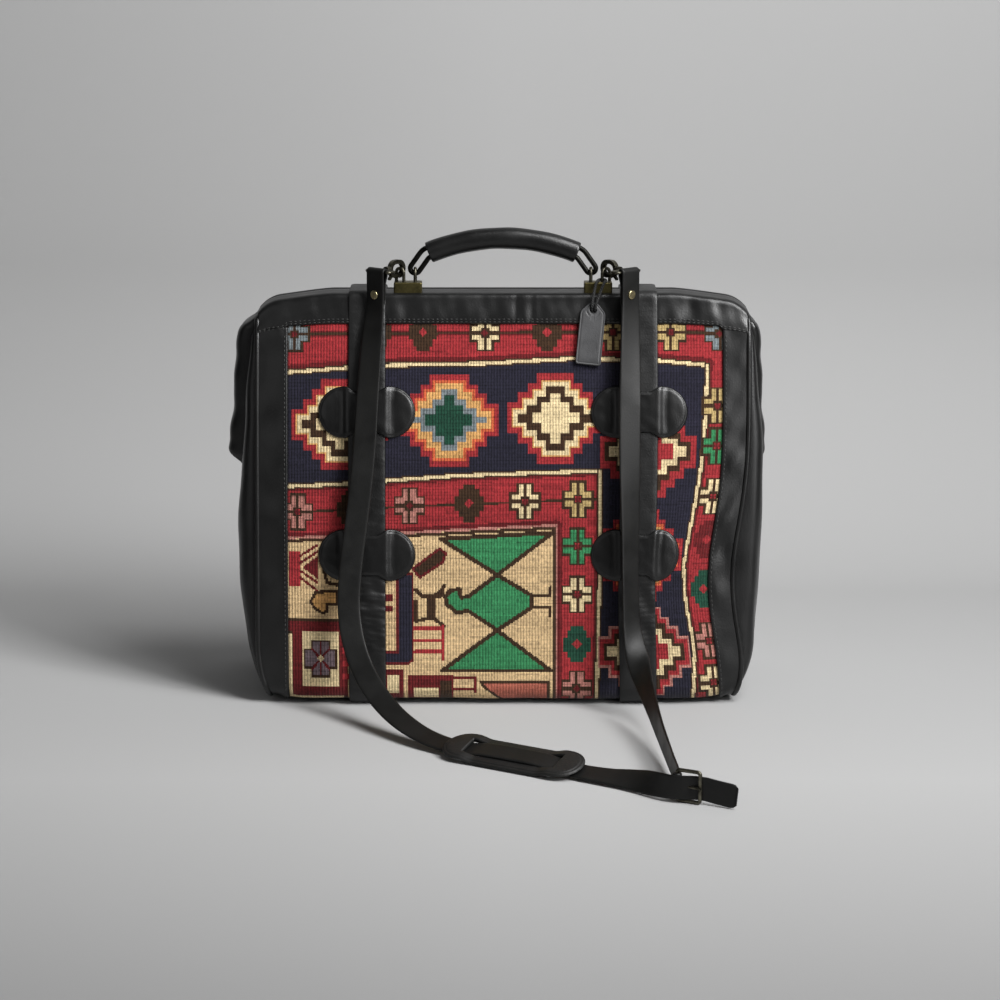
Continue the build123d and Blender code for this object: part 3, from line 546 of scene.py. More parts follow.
def patina_group():
    """Worn plating: slow patches between a dark and a bright tone, which change gloss and height too."""
    group = bpy.data.node_groups.get("metal patina")
    if group:
        return group
    group, start, end = new_group(
        "metal patina",
        {"Vector": VECTOR, "Dark": COLOUR, "Bright": COLOUR, "Scale": FLOAT},
        {"Colour": COLOUR, "Gloss": FLOAT, "Height": FLOAT},
    )
    where, dark, bright, scale = start.outputs[:4]
    patch = noise(group, where, scale, 6.0, 0.65)
    keys = {"Factor": ramp(group, patch, 0.36, 0.64), "A": dark, "B": bright}
    set_inputs(group, end, {
        "Colour": add_node(group, "ShaderNodeMix", keys, data_type="RGBA").outputs["Result"],
        "Gloss": ramp(group, patch, 0.3, 0.7, 0.12, -0.10),
        "Height": patch,
    })
    return group


def new_material(name):
    """Material with a Principled shader, its tree and the shader."""
    material = bpy.data.materials.new(name)
    material.use_nodes = True
    return material, material.node_tree, material.node_tree.nodes["Principled BSDF"]


def leather(name, colour, roughness=0.35, cell_scale=700.0, grain=0.00008, patch_scale=22.0, shine=0.42):
    """Leather: grain for its relief, patches for its tone and gloss."""
    material = bpy.data.materials.get(name)
    if material:
        return material
    material, tree, shader = new_material(name)
    keys = {"Vector": object_place(tree), "Cell scale": cell_scale, "Patch scale": patch_scale}
    look = add_node(tree, "ShaderNodeGroup", keys, node_tree=grain_group()).outputs
    set_inputs(tree, shader, {
        "Base Color": scaled(tree, tuple(linear(colour)), look["Tone"]),
        "Roughness": math_node(tree, "ADD", look["Gloss"], roughness),
        "Normal": relief(tree, look["Height"], grain, 0.8),
        "Specular IOR Level": shine,
    })
    return material


def black_leather():
    return leather("black leather", bpy.context.scene.leather_colours.black)


def belt_leather():
    return leather("belt leather", bpy.context.scene.leather_colours.black, 0.45, 800.0, 0.00014, 60.0)


def strap_leather():
    colour = bpy.context.scene.leather_colours.strap
    return leather("strap leather", colour, 0.46, 900.0, 0.00007, 40.0, 0.26)


def thread():
    """Waxed sewing thread, twisted."""
    material = bpy.data.materials.get("thread")
    if material:
        return material
    material, tree, shader = new_material("thread")
    tone = ramp(tree, noise(tree, object_place(tree), 2500.0, 1.0), 0.3, 0.7, 0.7, 1.3)
    colour = tuple(linear(bpy.context.scene.leather_colours.thread))
    set_inputs(tree, shader, {"Base Color": scaled(tree, colour, tone), "Roughness": 0.5})
    return material


def metal(name, dark, bright, roughness, scale=150.0):
    """Plated metal with a worn patina."""
    material, tree, shader = new_material(name)
    keys = {"Dark": (*linear(dark), 1), "Bright": (*linear(bright), 1), "Scale": scale}
    keys["Vector"] = object_place(tree)
    look = add_node(tree, "ShaderNodeGroup", keys, node_tree=patina_group()).outputs
    set_inputs(tree, shader, {
        "Base Color": look["Colour"],
        "Roughness": math_node(tree, "ADD", look["Gloss"], roughness),
        "Normal": relief(tree, look["Height"], 0.00008),
        "Metallic": 1.0,
    })
    return material


def weave_material():
    """Woven wool: the dye of each stitch with its painted groove shade, ribs across and stitches along the
    cloth for its relief, and hardly any gloss."""
    material, tree, shader = new_material("kilim weave")
    # The stitch colour attribute holds the dyes and the painted shade in the grooves between the ribs.
    dye = add_node(tree, "ShaderNodeVertexColor", layer_name="dye_and_groove_shade").outputs["Color"]
    where = map_place(tree)
    split = split_place(tree, where)
    fuzz = noise(tree, where, 1500.0, 3.0)
    pitch = bpy.context.scene.bag_sizes.stitch_cell
    rib = math_node(tree, "SINE", math_node(tree, "MULTIPLY", split["X"], math.pi / pitch))
    row = math_node(tree, "SINE", math_node(tree, "MULTIPLY", split["Y"], 2 * math.pi / pitch))
    both = math_node(tree, "MULTIPLY_ADD", rib, 0.6, math_node(tree, "MULTIPLY", row, 0.3))
    set_inputs(tree, shader, {
        "Base Color": scaled(tree, dye, ramp(tree, fuzz, 0.25, 0.75, 0.74, 1.26)),
        "Normal": relief(tree, math_node(tree, "ADD", both, fuzz), 0.00035, 0.9),
        "Roughness": 0.9,
        "Specular IOR Level": 0.15,
        "Sheen Weight": 0.15,
    })
    return material


# The woven carpet


class Weave:
    """Colours of a cloth's stitches. Places are millimetres across from the middle and down from the top
    seam."""

    def __init__(self, across, down):
        self.x, self.v = np.meshgrid(across, down)
        self.dyes = bpy.context.scene.kilim_colours
        self.rgb = np.zeros((*self.x.shape, 3))

    def fill(self, where, dye):
        self.rgb[where] = linear(getattr(self.dyes, dye))

    def rect(self, x0, x1, v0, v1):
        return (self.x > x0) & (self.x < x1) & (self.v > v0) & (self.v < v1)

    def area(self, *corners):
        """Inside of a closed outline: an odd number of its edges are passed on the way to the left."""
        inside = np.zeros(self.x.shape, bool)
        for (x0, v0), (x1, v1) in zip(corners, corners[1:] + corners[:1]):
            if v0 == v1:
                continue
            level = (v0 > self.v) != (v1 > self.v)
            inside ^= level & (self.x > x0 + (self.v - v0) * (x1 - x0) / (v1 - v0))
        return inside

    def line(self, width, *points):
        """Stitches within half a width of a line of points."""
        near = np.full(self.x.shape, np.inf)
        for (x0, v0), (x1, v1) in zip(points, points[1:]):
            span = (x1 - x0) ** 2 + (v1 - v0) ** 2
            share = np.clip(((self.x - x0) * (x1 - x0) + (self.v - v0) * (v1 - v0)) / span, 0, 1)
            far_x, far_v = self.x - x0 - share * (x1 - x0), self.v - v0 - share * (v1 - v0)
            near = np.minimum(near, np.hypot(far_x, far_v))
        return near < width / 2

    def below(self, *points):
        """Stitches below a line that runs from left to right."""
        x, v = np.array(points, float).T
        return self.v > np.interp(self.x, x, v)

    def right_of(self, *points):
        """Stitches to the right of a line that runs downwards."""
        x, v = np.array(points, float).T
        return self.x > np.interp(self.v, v, x)

    def figure(self, dye, outline, width, *corners):
        """Filled shape with a line round it."""
        self.fill(self.area(*corners), dye)
        self.fill(self.line(width, *corners, corners[0]), outline)

    def edging(self, *lines):
        """Cream lines with brown edges."""
        for line in lines:
            self.fill(self.line(5.6, *line), "brown")
            self.fill(self.line(2.9, *line), "cream")

    def medallion(self, x, v, *rings):
        """Stepped diamonds, the largest first: dye, half sizes of the bars that make it up, and growth."""
        far, tall = np.abs(self.x - x), np.abs(self.v - v)
        for dye, bars, grow in rings:
            shape = np.zeros(far.shape, bool)
            for half_width, half_height in bars:
                shape |= (far < half_width + grow) & (tall < half_height + grow)
            self.fill(shape, dye)

    def flower(self, x, v, dye):
        """Eight-petalled flower: an upright and a lying bar in each quarter, an outline and a heart."""
        far, high = np.abs(self.x - x), np.abs(self.v - v)
        for grow, colour in ((1.9, "brown"), (0.0, dye)):
            upright = (far > 1.3 - grow) & (far < 5.6 + grow) & (high > 4.2 - grow) & (high < 14.7 + grow)
            lying = (far > 4.0 - grow) & (far < 12.0 + grow) & (high > 1.6 - grow) & (high < 6.4 + grow)
            self.fill(upright | lying, colour)
        self.fill(far + high < 3.2, "maroon")

    def rosette(self, x, v, dye):
        """Dark flower with stepped sides and a small heart."""
        far, high = np.abs(self.x - x), np.abs(self.v - v)
        shape = (far < 5.5) & (high < 16.5) | (far < 9.0) & (high < 12.5) | (far < 12.8) & (high < 6.5)
        self.fill(shape, dye)
        self.fill(far + high < 4.2, "red")


RIM_BARS = ((16.6, 40.0), (24.4, 31.0), (33.0, 22.5), (42.7, 13.6))
RING_BARS = ((11.8, 32.6), (19.7, 24.5), (27.8, 16.3), (37.3, 7.5))
INNER_BARS = ((8.1, 28.6), (16.3, 19.7), (25.8, 10.9), (33.9, 3.9))
HEART_BARS = ((4.4, 21.8), (12.2, 13.6), (21.0, 4.8))
TOP_LINE = ((-200, 44.4), (-110, 37.3), (-17, 35.6), (66, 31.1), (136, 32.9), (181, 37.3))
SIDE_LINE = ((181.2, 37.3), (178.1, 108.5), (169.5, 214), (170.5, 238), (175, 285), (170, 340))
INNER_LINE = ((-200, 145.4), (-138, 142.1), (-106, 139.6), (-38, 134.9), (86.3, 130.7))
LEG_LINE = ((86.3, 130.7), (85.5, 230), (83.3, 340))
FIELD_LINE = ((-200, 191.2), (-84, 185.5), (-10, 181.5), (47.6, 179.0))
FIELD_SIDE = ((47.6, 179.0), (47.6, 340))
FLOWERS = (
    (-185, 9.2, "grey"), (-15.9, 8.4, "cream"), (97.5, 8.0, "sand"), (148.8, 8.0, "sand"),
    (192, 8.6, "grey"), (-181.7, 167.4, "pink"), (-82.8, 161.5, "pink"), (19.5, 157.8, "cream"),
    (66.4, 156.0, "sand"), (66.0, 197.6, "green"), (65.8, 240.5, "cream"), (65.6, 325.4, "pink"),
    (190.0, 73.5, "sand"), (190.0, 109.3, "green"), (190.0, 153.8, "cream"), (190.0, 282.7, "pink"),
    (190.0, 321, "cream"),
)
ROSETTES = (
    (-112.0, 8.0, "brown"), (-70.9, 8.0, "brown"), (39.0, 8.0, "brown"), (-30.1, 159.4, "brown"),
    (-134.0, 165.0, "brown"), (65.8, 285.0, "dark_green"), (190.0, 192.0, "maroon"),
    (190.0, 236.5, "dark_green"),
)


def paint_grounds(cloth):
    """Red borders, navy band, beige field and the lines between them."""
    cloth.fill(np.ones(cloth.x.shape, bool), "red")
    for width, dye in ((4.8, "maroon"), (2.2, "brown")):
        cloth.fill(cloth.line(width, (-200, 9.4), (200, 7.2)), dye)
    side = ~cloth.right_of(*SIDE_LINE)
    cloth.fill(cloth.line(13.0, *TOP_LINE) & ~cloth.below(*TOP_LINE), "maroon")
    cloth.fill(cloth.line(9.0, *SIDE_LINE) & ~side, "maroon")
    cloth.fill(cloth.below(*TOP_LINE, (400, 37.3)) & side, "navy")
    cloth.edging(TOP_LINE, SIDE_LINE)
    border = cloth.below(*INNER_LINE, (400, 130.7)) & ~cloth.right_of(*LEG_LINE)
    cloth.fill(border, "red")
    cloth.fill(border & cloth.line(9.0, *INNER_LINE, *LEG_LINE[1:]), "maroon")
    cloth.fill(cloth.line(2.2, (-200, 168.5), (-106, 163.3), (86, 155.6)) & border, "brown")
    field = cloth.below(*FIELD_LINE, (400, 179.0)) & ~cloth.right_of(*FIELD_SIDE) & border
    cloth.fill(cloth.line(9.0, *FIELD_LINE, *FIELD_SIDE[1:]) & border & ~field, "maroon")
    cloth.fill(field, "beige")
    cloth.edging(INNER_LINE, LEG_LINE)
    for shift, width, dye in ((0, 2.2, "pink"), (2.6, 2.8, "brown")):
        line = [(x - shift * (x > 40), v + shift) for x, v in FIELD_LINE]
        cloth.fill(cloth.line(width, *line, (47.6 - shift, 340)) & border, dye)


def paint_medallions(cloth):
    """Stepped medallions on the navy ground."""
    stepped = (("red", RIM_BARS, 0.0), ("gold", RING_BARS, 1.2), ("cream", RING_BARS, 0.0),
               ("brown", INNER_BARS, 0.0), ("cream", HEART_BARS, 0.0))
    ringed = (("red", RIM_BARS, 0.8), ("orange", RING_BARS, 3.0), ("gold", RING_BARS, 0.5),
              ("grey", INNER_BARS, -1.0), ("dark_green", HEART_BARS, 0.0))
    cored = (("red", RIM_BARS, 0.5), ("brown", RING_BARS, 0.8), ("cream", INNER_BARS, 0.6),
             ("red", INNER_BARS, -3.8))
    rosy = (("pink", RIM_BARS, 0.5), ("red", RIM_BARS, -1.6), *cored[1:])
    cloth.medallion(-144.4, 89.8, *stepped)
    cloth.medallion(-47.7, 85.8, *ringed)
    cloth.medallion(46.4, 84.0, *stepped)
    cloth.medallion(128.5, 114.0, *cored)
    cloth.medallion(122.5, 205.4, *ringed)
    cloth.medallion(127.5, 292.0, *rosy)


def paint_flowers(cloth):
    """Flowers of the red borders."""
    for place_and_dye in FLOWERS:
        cloth.flower(*place_and_dye)
    for place_and_dye in ROSETTES:
        cloth.rosette(*place_and_dye)


def paint_birds(cloth):
    """Two green triangles and a bird between them, in dark outlines."""
    bird = ((-5.1, 223), (24.8, 241), (24.8, 252.5), (-5.1, 272.3), (-31, 255), (-41, 257), (-50, 249),
            (-51, 242), (-46, 236.5), (-38.5, 236), (-37.5, 243), (-31, 242.5))
    upper, lower = ((-55, 191), (44.1, 185.5), (-5.1, 223)), ((-5.1, 272.5), (-54, 309), (42.5, 309))
    for shape in (upper, bird, lower):
        cloth.figure("green", "brown", 3.8, *shape)
    for v, foot in ((241.5, 234.5), (252.0, 259.0)):
        cloth.fill(cloth.line(3.2, (24.8, v), (41.7, v), (41.7, foot)), "brown")


def paint_figures(cloth):
    """Small animals, bars and combs of the beige field."""
    cloth.figure("navy", "maroon", 2.4, (-93.5, 222), (-80.0, 222), (-80.0, 299), (-84, 302.5),
                 (-108, 302.5), (-108, 292), (-93.5, 292))
    cloth.figure("brown", "maroon", 2.4, (-80, 217.5), (-56, 199.5), (-50.5, 204), (-53, 211.5),
                 (-74, 225.5))
    cloth.fill(cloth.rect(-67.5, -60.5, 240, 264), "brown")
    cloth.fill(cloth.area((-62, 242.5), (-52, 233), (-52, 240.5), (-57, 245)), "brown")
    back = ((-78, 236), (-72, 242), (-58, 241), (-52, 233))
    for points in (back, ((-77.5, 247), (-77.5, 264), (-66, 262)), ((-61, 262), (-52.5, 268.5))):
        cloth.fill(cloth.line(3.4, *points), "brown")
    for v in (270.6, 281.4, 291.6):
        cloth.fill(cloth.line(3.2, (-78, v), (-53.2, v)), "red")
    cloth.fill(cloth.line(3.0, (-53.2, 269), (-53.2, 298)), "red")
    cloth.fill(cloth.rect(-189.5, -179.2, 202, 233.5), "red")
    cloth.fill(cloth.area((-178, 216.6), (-164.5, 206.5), (-164.5, 227)), "maroon")
    for v, rise in ((206.3, -9.5), (212.6, -9.8), (219.8, 10.3), (226.1, 11.2)):
        cloth.fill(cloth.line(2.4, (-179.6, v), (-164.6, v + rise)), "maroon")
    cloth.figure("gold", "brown", 2.8, (-170.6, 246.8), (-166, 238.5), (-147, 237.5), (-146.3, 249.2),
                 (-155.7, 249.2), (-155.7, 255.5), (-160.4, 257), (-167.5, 252.4))
    cloth.fill(cloth.line(3.0, (-160, 212), (-156, 230), (-146, 232)), "brown")
    for x0, x1, v0, v1 in ((-113, -109, 238, 256), (-104, -98, 240, 246), (-104, -98, 250, 256)):
        cloth.fill(cloth.rect(x0, x1, v0, v1), "maroon")


def paint_square(cloth):
    """Framed square with a flower at the left, and the row of figures along the foot."""
    cloth.fill(cloth.rect(-200, -137.5, 262.5, 340), "brown")
    cloth.fill(cloth.rect(-187, -137.5, 264.5, 333) | cloth.rect(-200, -137.5, 264.5, 274), "maroon")
    cloth.fill(cloth.rect(-200, -187.2, 276, 340), "cream")
    cloth.fill(cloth.rect(-200, -142, 334, 340), "cream")
    cloth.fill(cloth.rect(-178, -146, 273.8, 323), "cream")
    far, high = np.abs(cloth.x + 162.1), np.abs(cloth.v - 298.3)
    for grow, dye in ((1.8, "brown"), (0.0, "violet")):
        cross = (far < 6.6 + grow) & (high < 14.8 + grow) | (far < 13.0 + grow) & (high < 7.0 + grow)
        cloth.fill(cross, dye)
    cloth.fill((np.abs(far - high * 0.85) < 1.4) & (far < 9) | (far < 1.0) & (high < 15), "maroon")
    cloth.fill(far + high < 3.4, "cream")
    for v in (290.7, 302.6, 314.5):
        cloth.fill(cloth.rect(-143, -131, v - 2.8, v + 2.8), "red")
    for x0, x1, v0, v1, dye in (
        (-107, -88.5, 308, 340, "maroon"), (-102.5, -93, 313, 330, "cream"), (-84, -44, 313, 340, "maroon"),
        (-79, -57, 324, 336, "cream"), (-56, -45, 318, 340, "brown"), (-44, -24, 314, 317, "maroon"),
        (-44, -24, 324, 327, "maroon"), (-26, -23, 314, 330, "maroon"),
    ):
        cloth.fill(cloth.rect(x0, x1, v0, v1), dye)
    cloth.figure("salmon", "brown", 2.6, (-19.5, 319.5), (40, 319.5), (40, 340), (2, 340), (-6, 333),
                 (-18, 322))


def weave_colours(across, down, seed):
    """Colour of each stitch: the pattern, with the yarn's own changes from stitch to stitch, rib to rib and
    row to row, and painted shade on every other column of stitches for the grooves between the ribs."""
    cloth = Weave(across, down)
    for paint in (paint_grounds, paint_medallions, paint_flowers, paint_birds, paint_figures, paint_square):
        paint(cloth)
    stitch_change, rib_change, rib_shade, band_change, streak_change = 0.09, 0.035, 0.20, 0.05, 0.11
    streak = 16
    draw = np.random.default_rng(seed)
    rows, columns = cloth.x.shape
    stitches = draw.normal(0, stitch_change, (rows, columns))
    pairs = np.repeat(draw.normal(0, stitch_change, ((rows + 1) // 2, columns)), 2, 0)[:rows]
    # Painted shade: rib_shade darkens every other column of stitches for the grooves between the ribs, on
    # top of each rib's random tone.
    ribs = draw.normal(0, rib_change, (1, columns)) - rib_shade * (np.arange(columns) % 2)[None]
    bands = band_change * waves(cloth.x * 0.05, cloth.v, seed, 6, 60.0)
    streaks = draw.normal(0, streak_change, (rows, columns // streak + 1))
    streaks = np.repeat(streaks, streak, 1)[:, :columns]
    tone = np.clip(1.10 + stitches + pairs + ribs + bands + streaks, 0.5, 1.5)
    return np.clip(cloth.rgb * tone[..., None], 0, 1)


def make_carpet(name, side, profile, material):
    """Woven panel. Its outer grid has a quad for each stitch, with ribs as small folds, and sinks under the
    leather along its edges. Its inner face is one column of long quads, which run from side to side."""
    sizes = bpy.context.scene.bag_sizes
    edge_reach, edge_sink, face_rise, slack, rib_height = 0.009, 0.0006, 0.0007, 0.00035, 0.00014
    thickness, top_seam = 0.003, 0.335
    half = sizes.carpet_half_width
    columns = round(2 * half / sizes.stitch_cell) + 1
    start, end = length_at(profile, [sizes.carpet_top, sizes.carpet_foot])
    rows = round((end - start) / sizes.stitch_cell) + 1
    x = np.linspace(-half, half, columns)[None]
    run = np.linspace(start, end, rows)[:, None]
    edge = np.minimum(half - np.abs(x), run - start)
    rise = face_rise * smooth_step(0, edge_reach, edge) - edge_sink
    rise = rise + slack * waves(x, run, 5 + side, 7, 0.09)
    rise = rise + rib_height * (np.arange(columns) % 2 * 2 - 1)[None]
    outer = on_bag(profile, x, run, rise, side)
    ends = np.array([[-half, half]])
    inner = on_bag(profile, ends, run, -thickness, side)
    count = rows * columns
    quads = grid_faces(rows, columns)[0]
    left, right = count + np.arange(rows) * 2, count + np.arange(rows) * 2 + 1
    edge_left, edge_right = np.arange(rows) * columns, np.arange(rows) * columns + columns - 1
    back = np.stack([left[:-1], right[:-1], right[1:], left[1:]], 1)
    rim_left = np.stack([edge_left[1:], edge_left[:-1], left[:-1], left[1:]], 1)
    rim_right = np.stack([edge_right[:-1], edge_right[1:], right[1:], right[:-1]], 1)
    top = np.concatenate([np.arange(columns), [right[0], left[0]]])[None]
    foot = np.concatenate([np.arange(columns)[::-1] + count - columns, [left[-1], right[-1]]])[None]
    groups = [np.concatenate([quads, back, rim_left, rim_right]), np.concatenate([top, foot])]
    uv = np.concatenate([grid(x, run).reshape(-1, 2), grid(ends, run).reshape(-1, 2)])
    across = (x[0, 1:] + x[0, :-1]) / 2 / mm
    down = ((run[1:, 0] + run[:-1, 0]) / 2 - length_at(profile, top_seam)) / mm
    shown = np.ones((len(quads), 4))
    shown[:, :3] = weave_colours(-side * across, down, 11 + side).reshape(-1, 3)
    plain = np.array([*linear(bpy.context.scene.kilim_colours.navy), 1])
    rest = groups[0].shape[0] - len(quads)
    colours = np.concatenate([np.repeat(shown, 4, 0), np.tile(plain, (4 * rest + groups[1].size, 1))])
    points = np.concatenate([outer.reshape(-1, 3), inner.reshape(-1, 3)])
    obj = add_mesh(name, points, groups, material, [uv[group] for group in groups], colours)
    return place(obj, "bag", "carpet", name.replace("_weave", "_carpet"))


class BAG_OT_carpet(bpy.types.Operator):
    """Weave the front and back carpet panels"""

    bl_idname = "bag.carpet"
    bl_label = "Carpet panels"

    def execute(self, context):
        profile = half_profile()
        material = weave_material()
        for face, side in FACES:
            make_carpet(f"{face}_weave", side, profile, material)
        return {"FINISHED"}


# Leather of the body


def turned_edge(distance, radius):
    """How far a turned leather edge lies below its face at a distance from the edge: a quarter circle."""
    inside = np.clip(1 - distance / radius, 0, 1)
    return radius * (1 - np.sqrt(1 - inside**2))


def leather_sheet(name, outer, inner, across, along, node=None):
    """Sheet of black leather on the bag. It stands for the node of its name, or for the node given."""
    sheet = slab(name, outer, inner, black_leather(), grid(across, along))
    return place(sheet, "bag", "black_leather", node or name)


def leather_skin(name, loops, material, closed=False):
    """Skin of leather on the bag, which stands for the node of its name."""
    return place(loft(name, loops, material, closed), "bag", "black_leather", name)


# Upright creases of the top bands: place across, depth and width
BAND_CREASES = (
    (0.012, -0.0007, 0.0022), (0.019, 0.0006, 0.003), (0.026, -0.0006, 0.002), (-0.03, 0.0008, 0.008),
    (-0.085, -0.0006, 0.006), (0.165, -0.0009, 0.008), (0.185, 0.0008, 0.006), (-0.175, 0.0007, 0.009),
)


def make_band(name, side, profile):
    """Leather band along the mouth: turned edges below and at the mouth, with soft upright creases."""
    sizes = bpy.context.scene.bag_sizes
    mouth_gap, mouth_turn, inside = 0.0006, 0.0035, 0.0028
    end_drop, slack, crown_depth = 0.0045, 0.00025, 0.0040 if side > 0 else 0.0012
    x = np.linspace(-sizes.half_width, sizes.half_width, 220)[None]
    end = length_at(profile, sizes.band_foot - end_drop * smooth_step(0.190, 0.197, np.abs(x)))
    share = np.sin(np.linspace(0, math.pi / 2, 34))[:, None] ** 0.8
    run = mouth_gap + (end - mouth_gap) * share
    rise = sizes.leather - turned_edge(end - run, sizes.leather) - turned_edge(run, mouth_turn)
    creases = sum(depth * bump(x, at, width) for at, depth, width in BAND_CREASES)
    rise = rise + bump(run, 0.036, 0.014) * (creases + slack * waves(x * 3, run, 21 + side, 8, 0.09))
    rise = rise - crown_depth * smooth_step(0.004, 0.021, run) * (1 - smooth_step(0.026, 0.046, run))
    outer, inner = [on_bag(profile, x, run, level, side) for level in (rise, -inside)]
    leather_sheet(name, outer, inner, x, run)
    rows = []
    for inset in (0.0016, 0.0040):
        line = on_bag(profile, x[0], end[0] - inset, sizes.leather, side)
        rows.append((line, normals_on_bag(profile, end[0], side)))
    return rows


def make_trim(name, side, hand, profile):
    """Upright leather strip between the carpet and the side seam, with a turned inner edge. The left strip
    is wider."""
    sizes = bpy.context.scene.bag_sizes
    left_extra, lap, foot, inside = 0.004, 0.001, 0.0036, 0.0030
    fold, fold_edge, seam_inset, seam_gap = 0.0007, 0.010, 0.0030, 0.006
    thickness = sizes.leather * 0.75
    inner_x = sizes.half_width - sizes.trim_width - (left_extra if hand < 0 else 0.0)
    share = np.sin(np.linspace(0, math.pi / 2, 20))[None]
    width = sizes.half_width - inner_x
    x = hand * (inner_x + width * (1 - share[:, ::-1]))
    start, end = length_at(profile, [sizes.band_foot - lap, foot])
    run = np.linspace(start, end, 130)[:, None]
    edge = np.abs(x) - inner_x
    folds = fold * waves(x, run, 31 + side * 2 + hand, 8, 0.07) * smooth_step(0, fold_edge, edge)
    rise = thickness - turned_edge(edge, thickness) + folds * smooth_step(0, fold_edge, width - edge)
    outer, inner = [on_bag(profile, x, run, level, side) for level in (rise, -inside)]
    leather_sheet(name, outer, inner, x, run)
    line = run[:, 0][run[:, 0] > start + seam_gap]
    seam = on_bag(profile, hand * (inner_x + seam_inset), line, thickness, side)
    return seam, normals_on_bag(profile, line, side)


def make_bottom(profile):
    """Leather of the base, from the front's lower edge to the back's."""
    sizes = bpy.context.scene.bag_sizes
    edge_height, sink, slack, thickness = 0.0115, 0.0009, 0.0003, 0.003
    x = np.linspace(-sizes.half_width, sizes.half_width, 60)[None]
    half = np.linspace(length_at(profile, edge_height), profile[0, -1], 26)[:, None]
    rise = -sink + slack * waves(x, half, 41, 6, 0.08)
    outer, inner = [
        np.concatenate([on_bag(profile, x, half, level, -1), on_bag(profile, x, half, level, 1)[::-1][1:]])
        for level in (rise, rise - thickness)
    ]
    leather_sheet("bottom_leather", outer, inner, x, lengths(outer[:, 0])[:, None], "bottom_panel")


class BAG_OT_leather(bpy.types.Operator):
    """Sew the top bands, the side trims and the base"""

    bl_idname = "bag.leather"
    bl_label = "Bands, trims and base"

    def execute(self, context):
        profile = half_profile()
        for face, side in FACES:
            rows = make_band(f"{face}_top_band", side, profile)
            for name, hand in HANDS:
                rows.append(make_trim(f"{face}_{name}_trim", side, hand, profile))
            stitching(f"{face}_seam_stitches", rows)
        make_bottom(profile)
        return {"FINISHED"}


def round_loop(profile, x, rise):
    """Closed line round the bag's side outline at an x and a height above it: down the front, up behind."""
    run = np.linspace(0.0004, profile[0, -1], 230)
    front = on_bag(profile, x, run, rise, -1)
    back = on_bag(profile, x, run[:-1][::-1], rise, 1)
    return np.concatenate([front, back])


def make_gusset(name, hand, profile):
    """Side panel: a wide dome over the side outline, which rounds off into the seam along its rim. The left
    one sags more."""
    sizes = bpy.context.scene.bag_sizes
    low, high = sizes.base_level + 0.0006, sizes.body_height - 0.0068
    dome_height, least_rise, thickness, folds = 0.17, 0.0016, 0.0025, 0.0009
    sag = 0.0055 if hand < 0 else 0.0015
    level = np.linspace(0, 1, 84)
    z = (low + (high - low) * (1 - np.cos(level * math.pi)) / 2)[:, None]
    share = spread(52)[None]
    wall = np.interp(-z, -profile[2], profile[1])
    y = -wall * share
    height = (z - (low + high) / 2) / ((high - low) / 2)
    rim = (1 - np.abs(share) ** 9) ** 0.33 * (1 - np.abs(height) ** 22) ** 0.33
    dome = sizes.gusset_bulge - ((z - dome_height) ** 2 + y**2) / sizes.gusset_reach
    dome = dome + sag * bump(z, 0.12, 0.09) + folds * waves(y, z, 51 + hand, 7, 0.13)
    x = sizes.half_width + np.maximum(dome, least_rise) * rim
    outer = settle(grid(hand * x, y, z))
    inner = outer - np.array([hand * thickness, 0, 0])
    leather_sheet(name, outer, inner, y, z)


def make_welt(name, hand, profile):
    """Piping along the side seam: a round bead round the whole outline, lowered at the mouth."""
    sizes = bpy.context.scene.bag_sizes
    rise, mouth_drop, drop_start, drop_end = 0.0008, 0.0045, 0.310, 0.340
    line = round_loop(profile, hand * sizes.half_width, rise)
    line[:, 2] -= mouth_drop * smooth_step(drop_start, drop_end, line[:, 2])
    along = unit(np.roll(line, -1, 0) - np.roll(line, 1, 0))
    across = unit(np.cross(along, np.cross(np.array([1.0, 0, 0]), along)))
    loops = sweep(sizes.welt_radius * circle(12), line, across, np.cross(along, across))
    leather_skin(name, loops, black_leather(), closed=True)


def make_cover(name, hand):
    """Leather cover over a hinge of the mouth frame: half ovals stacked from its top down to a blunt tip,
    and a short foot that turns back to the side panel. The right one lies flatter."""
    sizes = bpy.context.scene.bag_sizes
    top_drop, crease_depth, inside, right_share = 0.008, 0.0006, 0.0025, 0.62
    z = np.concatenate([np.linspace(0.3485, 0.228, 56), np.linspace(0.2265, 0.2045, 22)])
    levels = np.array([204.5, 209, 213.5, 217.5, 226, 250, 277, 311, 330, 340, 348.5]) * mm
    out = np.array([18, 23.5, 28.5, 30.2, 28.0, 25.2, 23.0, 21.0, 17.5, 12.5, 0.5]) * mm
    reach = np.interp(z, levels, out * (1 if hand < 0 else right_share))
    reach = np.convolve(np.pad(reach, 2, mode="edge"), np.ones(5) / 5, mode="valid")[:, None]
    z = z - top_drop * smooth_step(0.322, 0.3485, z)
    depth = np.interp(z, [0.2045, 0.214, 0.28, 0.33, 0.3405], [0.017, 0.021, 0.0225, 0.0225, 0.0195])
    z, depth = z[:, None], depth[:, None]
    turn = np.linspace(0, math.pi, 40)
    y = (-np.sign(np.cos(turn)) * np.abs(np.cos(turn)) ** 0.35)[None]
    front = (np.sin(turn) ** 0.5)[None]
    crease = crease_depth * waves(y * 0.02, z, 61, 6, 0.05) * front
    outer = grid(sizes.half_width + reach * front + crease, depth * y, z)
    back = grid(sizes.half_width - inside, depth * np.linspace(0.9, -0.9, 6)[None], z)
    leather_skin(name, np.concatenate([outer, back], 1) * np.array([hand, 1, 1]), black_leather())


class BAG_OT_sides(bpy.types.Operator):
    """Make the side panels, their piping and the covers over the frame's hinges"""

    bl_idname = "bag.sides"
    bl_label = "Side panels and piping"

    def execute(self, context):
        profile = half_profile()
        for name, hand in HANDS:
            make_gusset(f"{name}_gusset", hand, profile)
            make_welt(f"{name}_welt", hand, profile)
            make_cover(f"{name}_hinge_cover", hand)
        return {"FINISHED"}


# Belts and their tabs


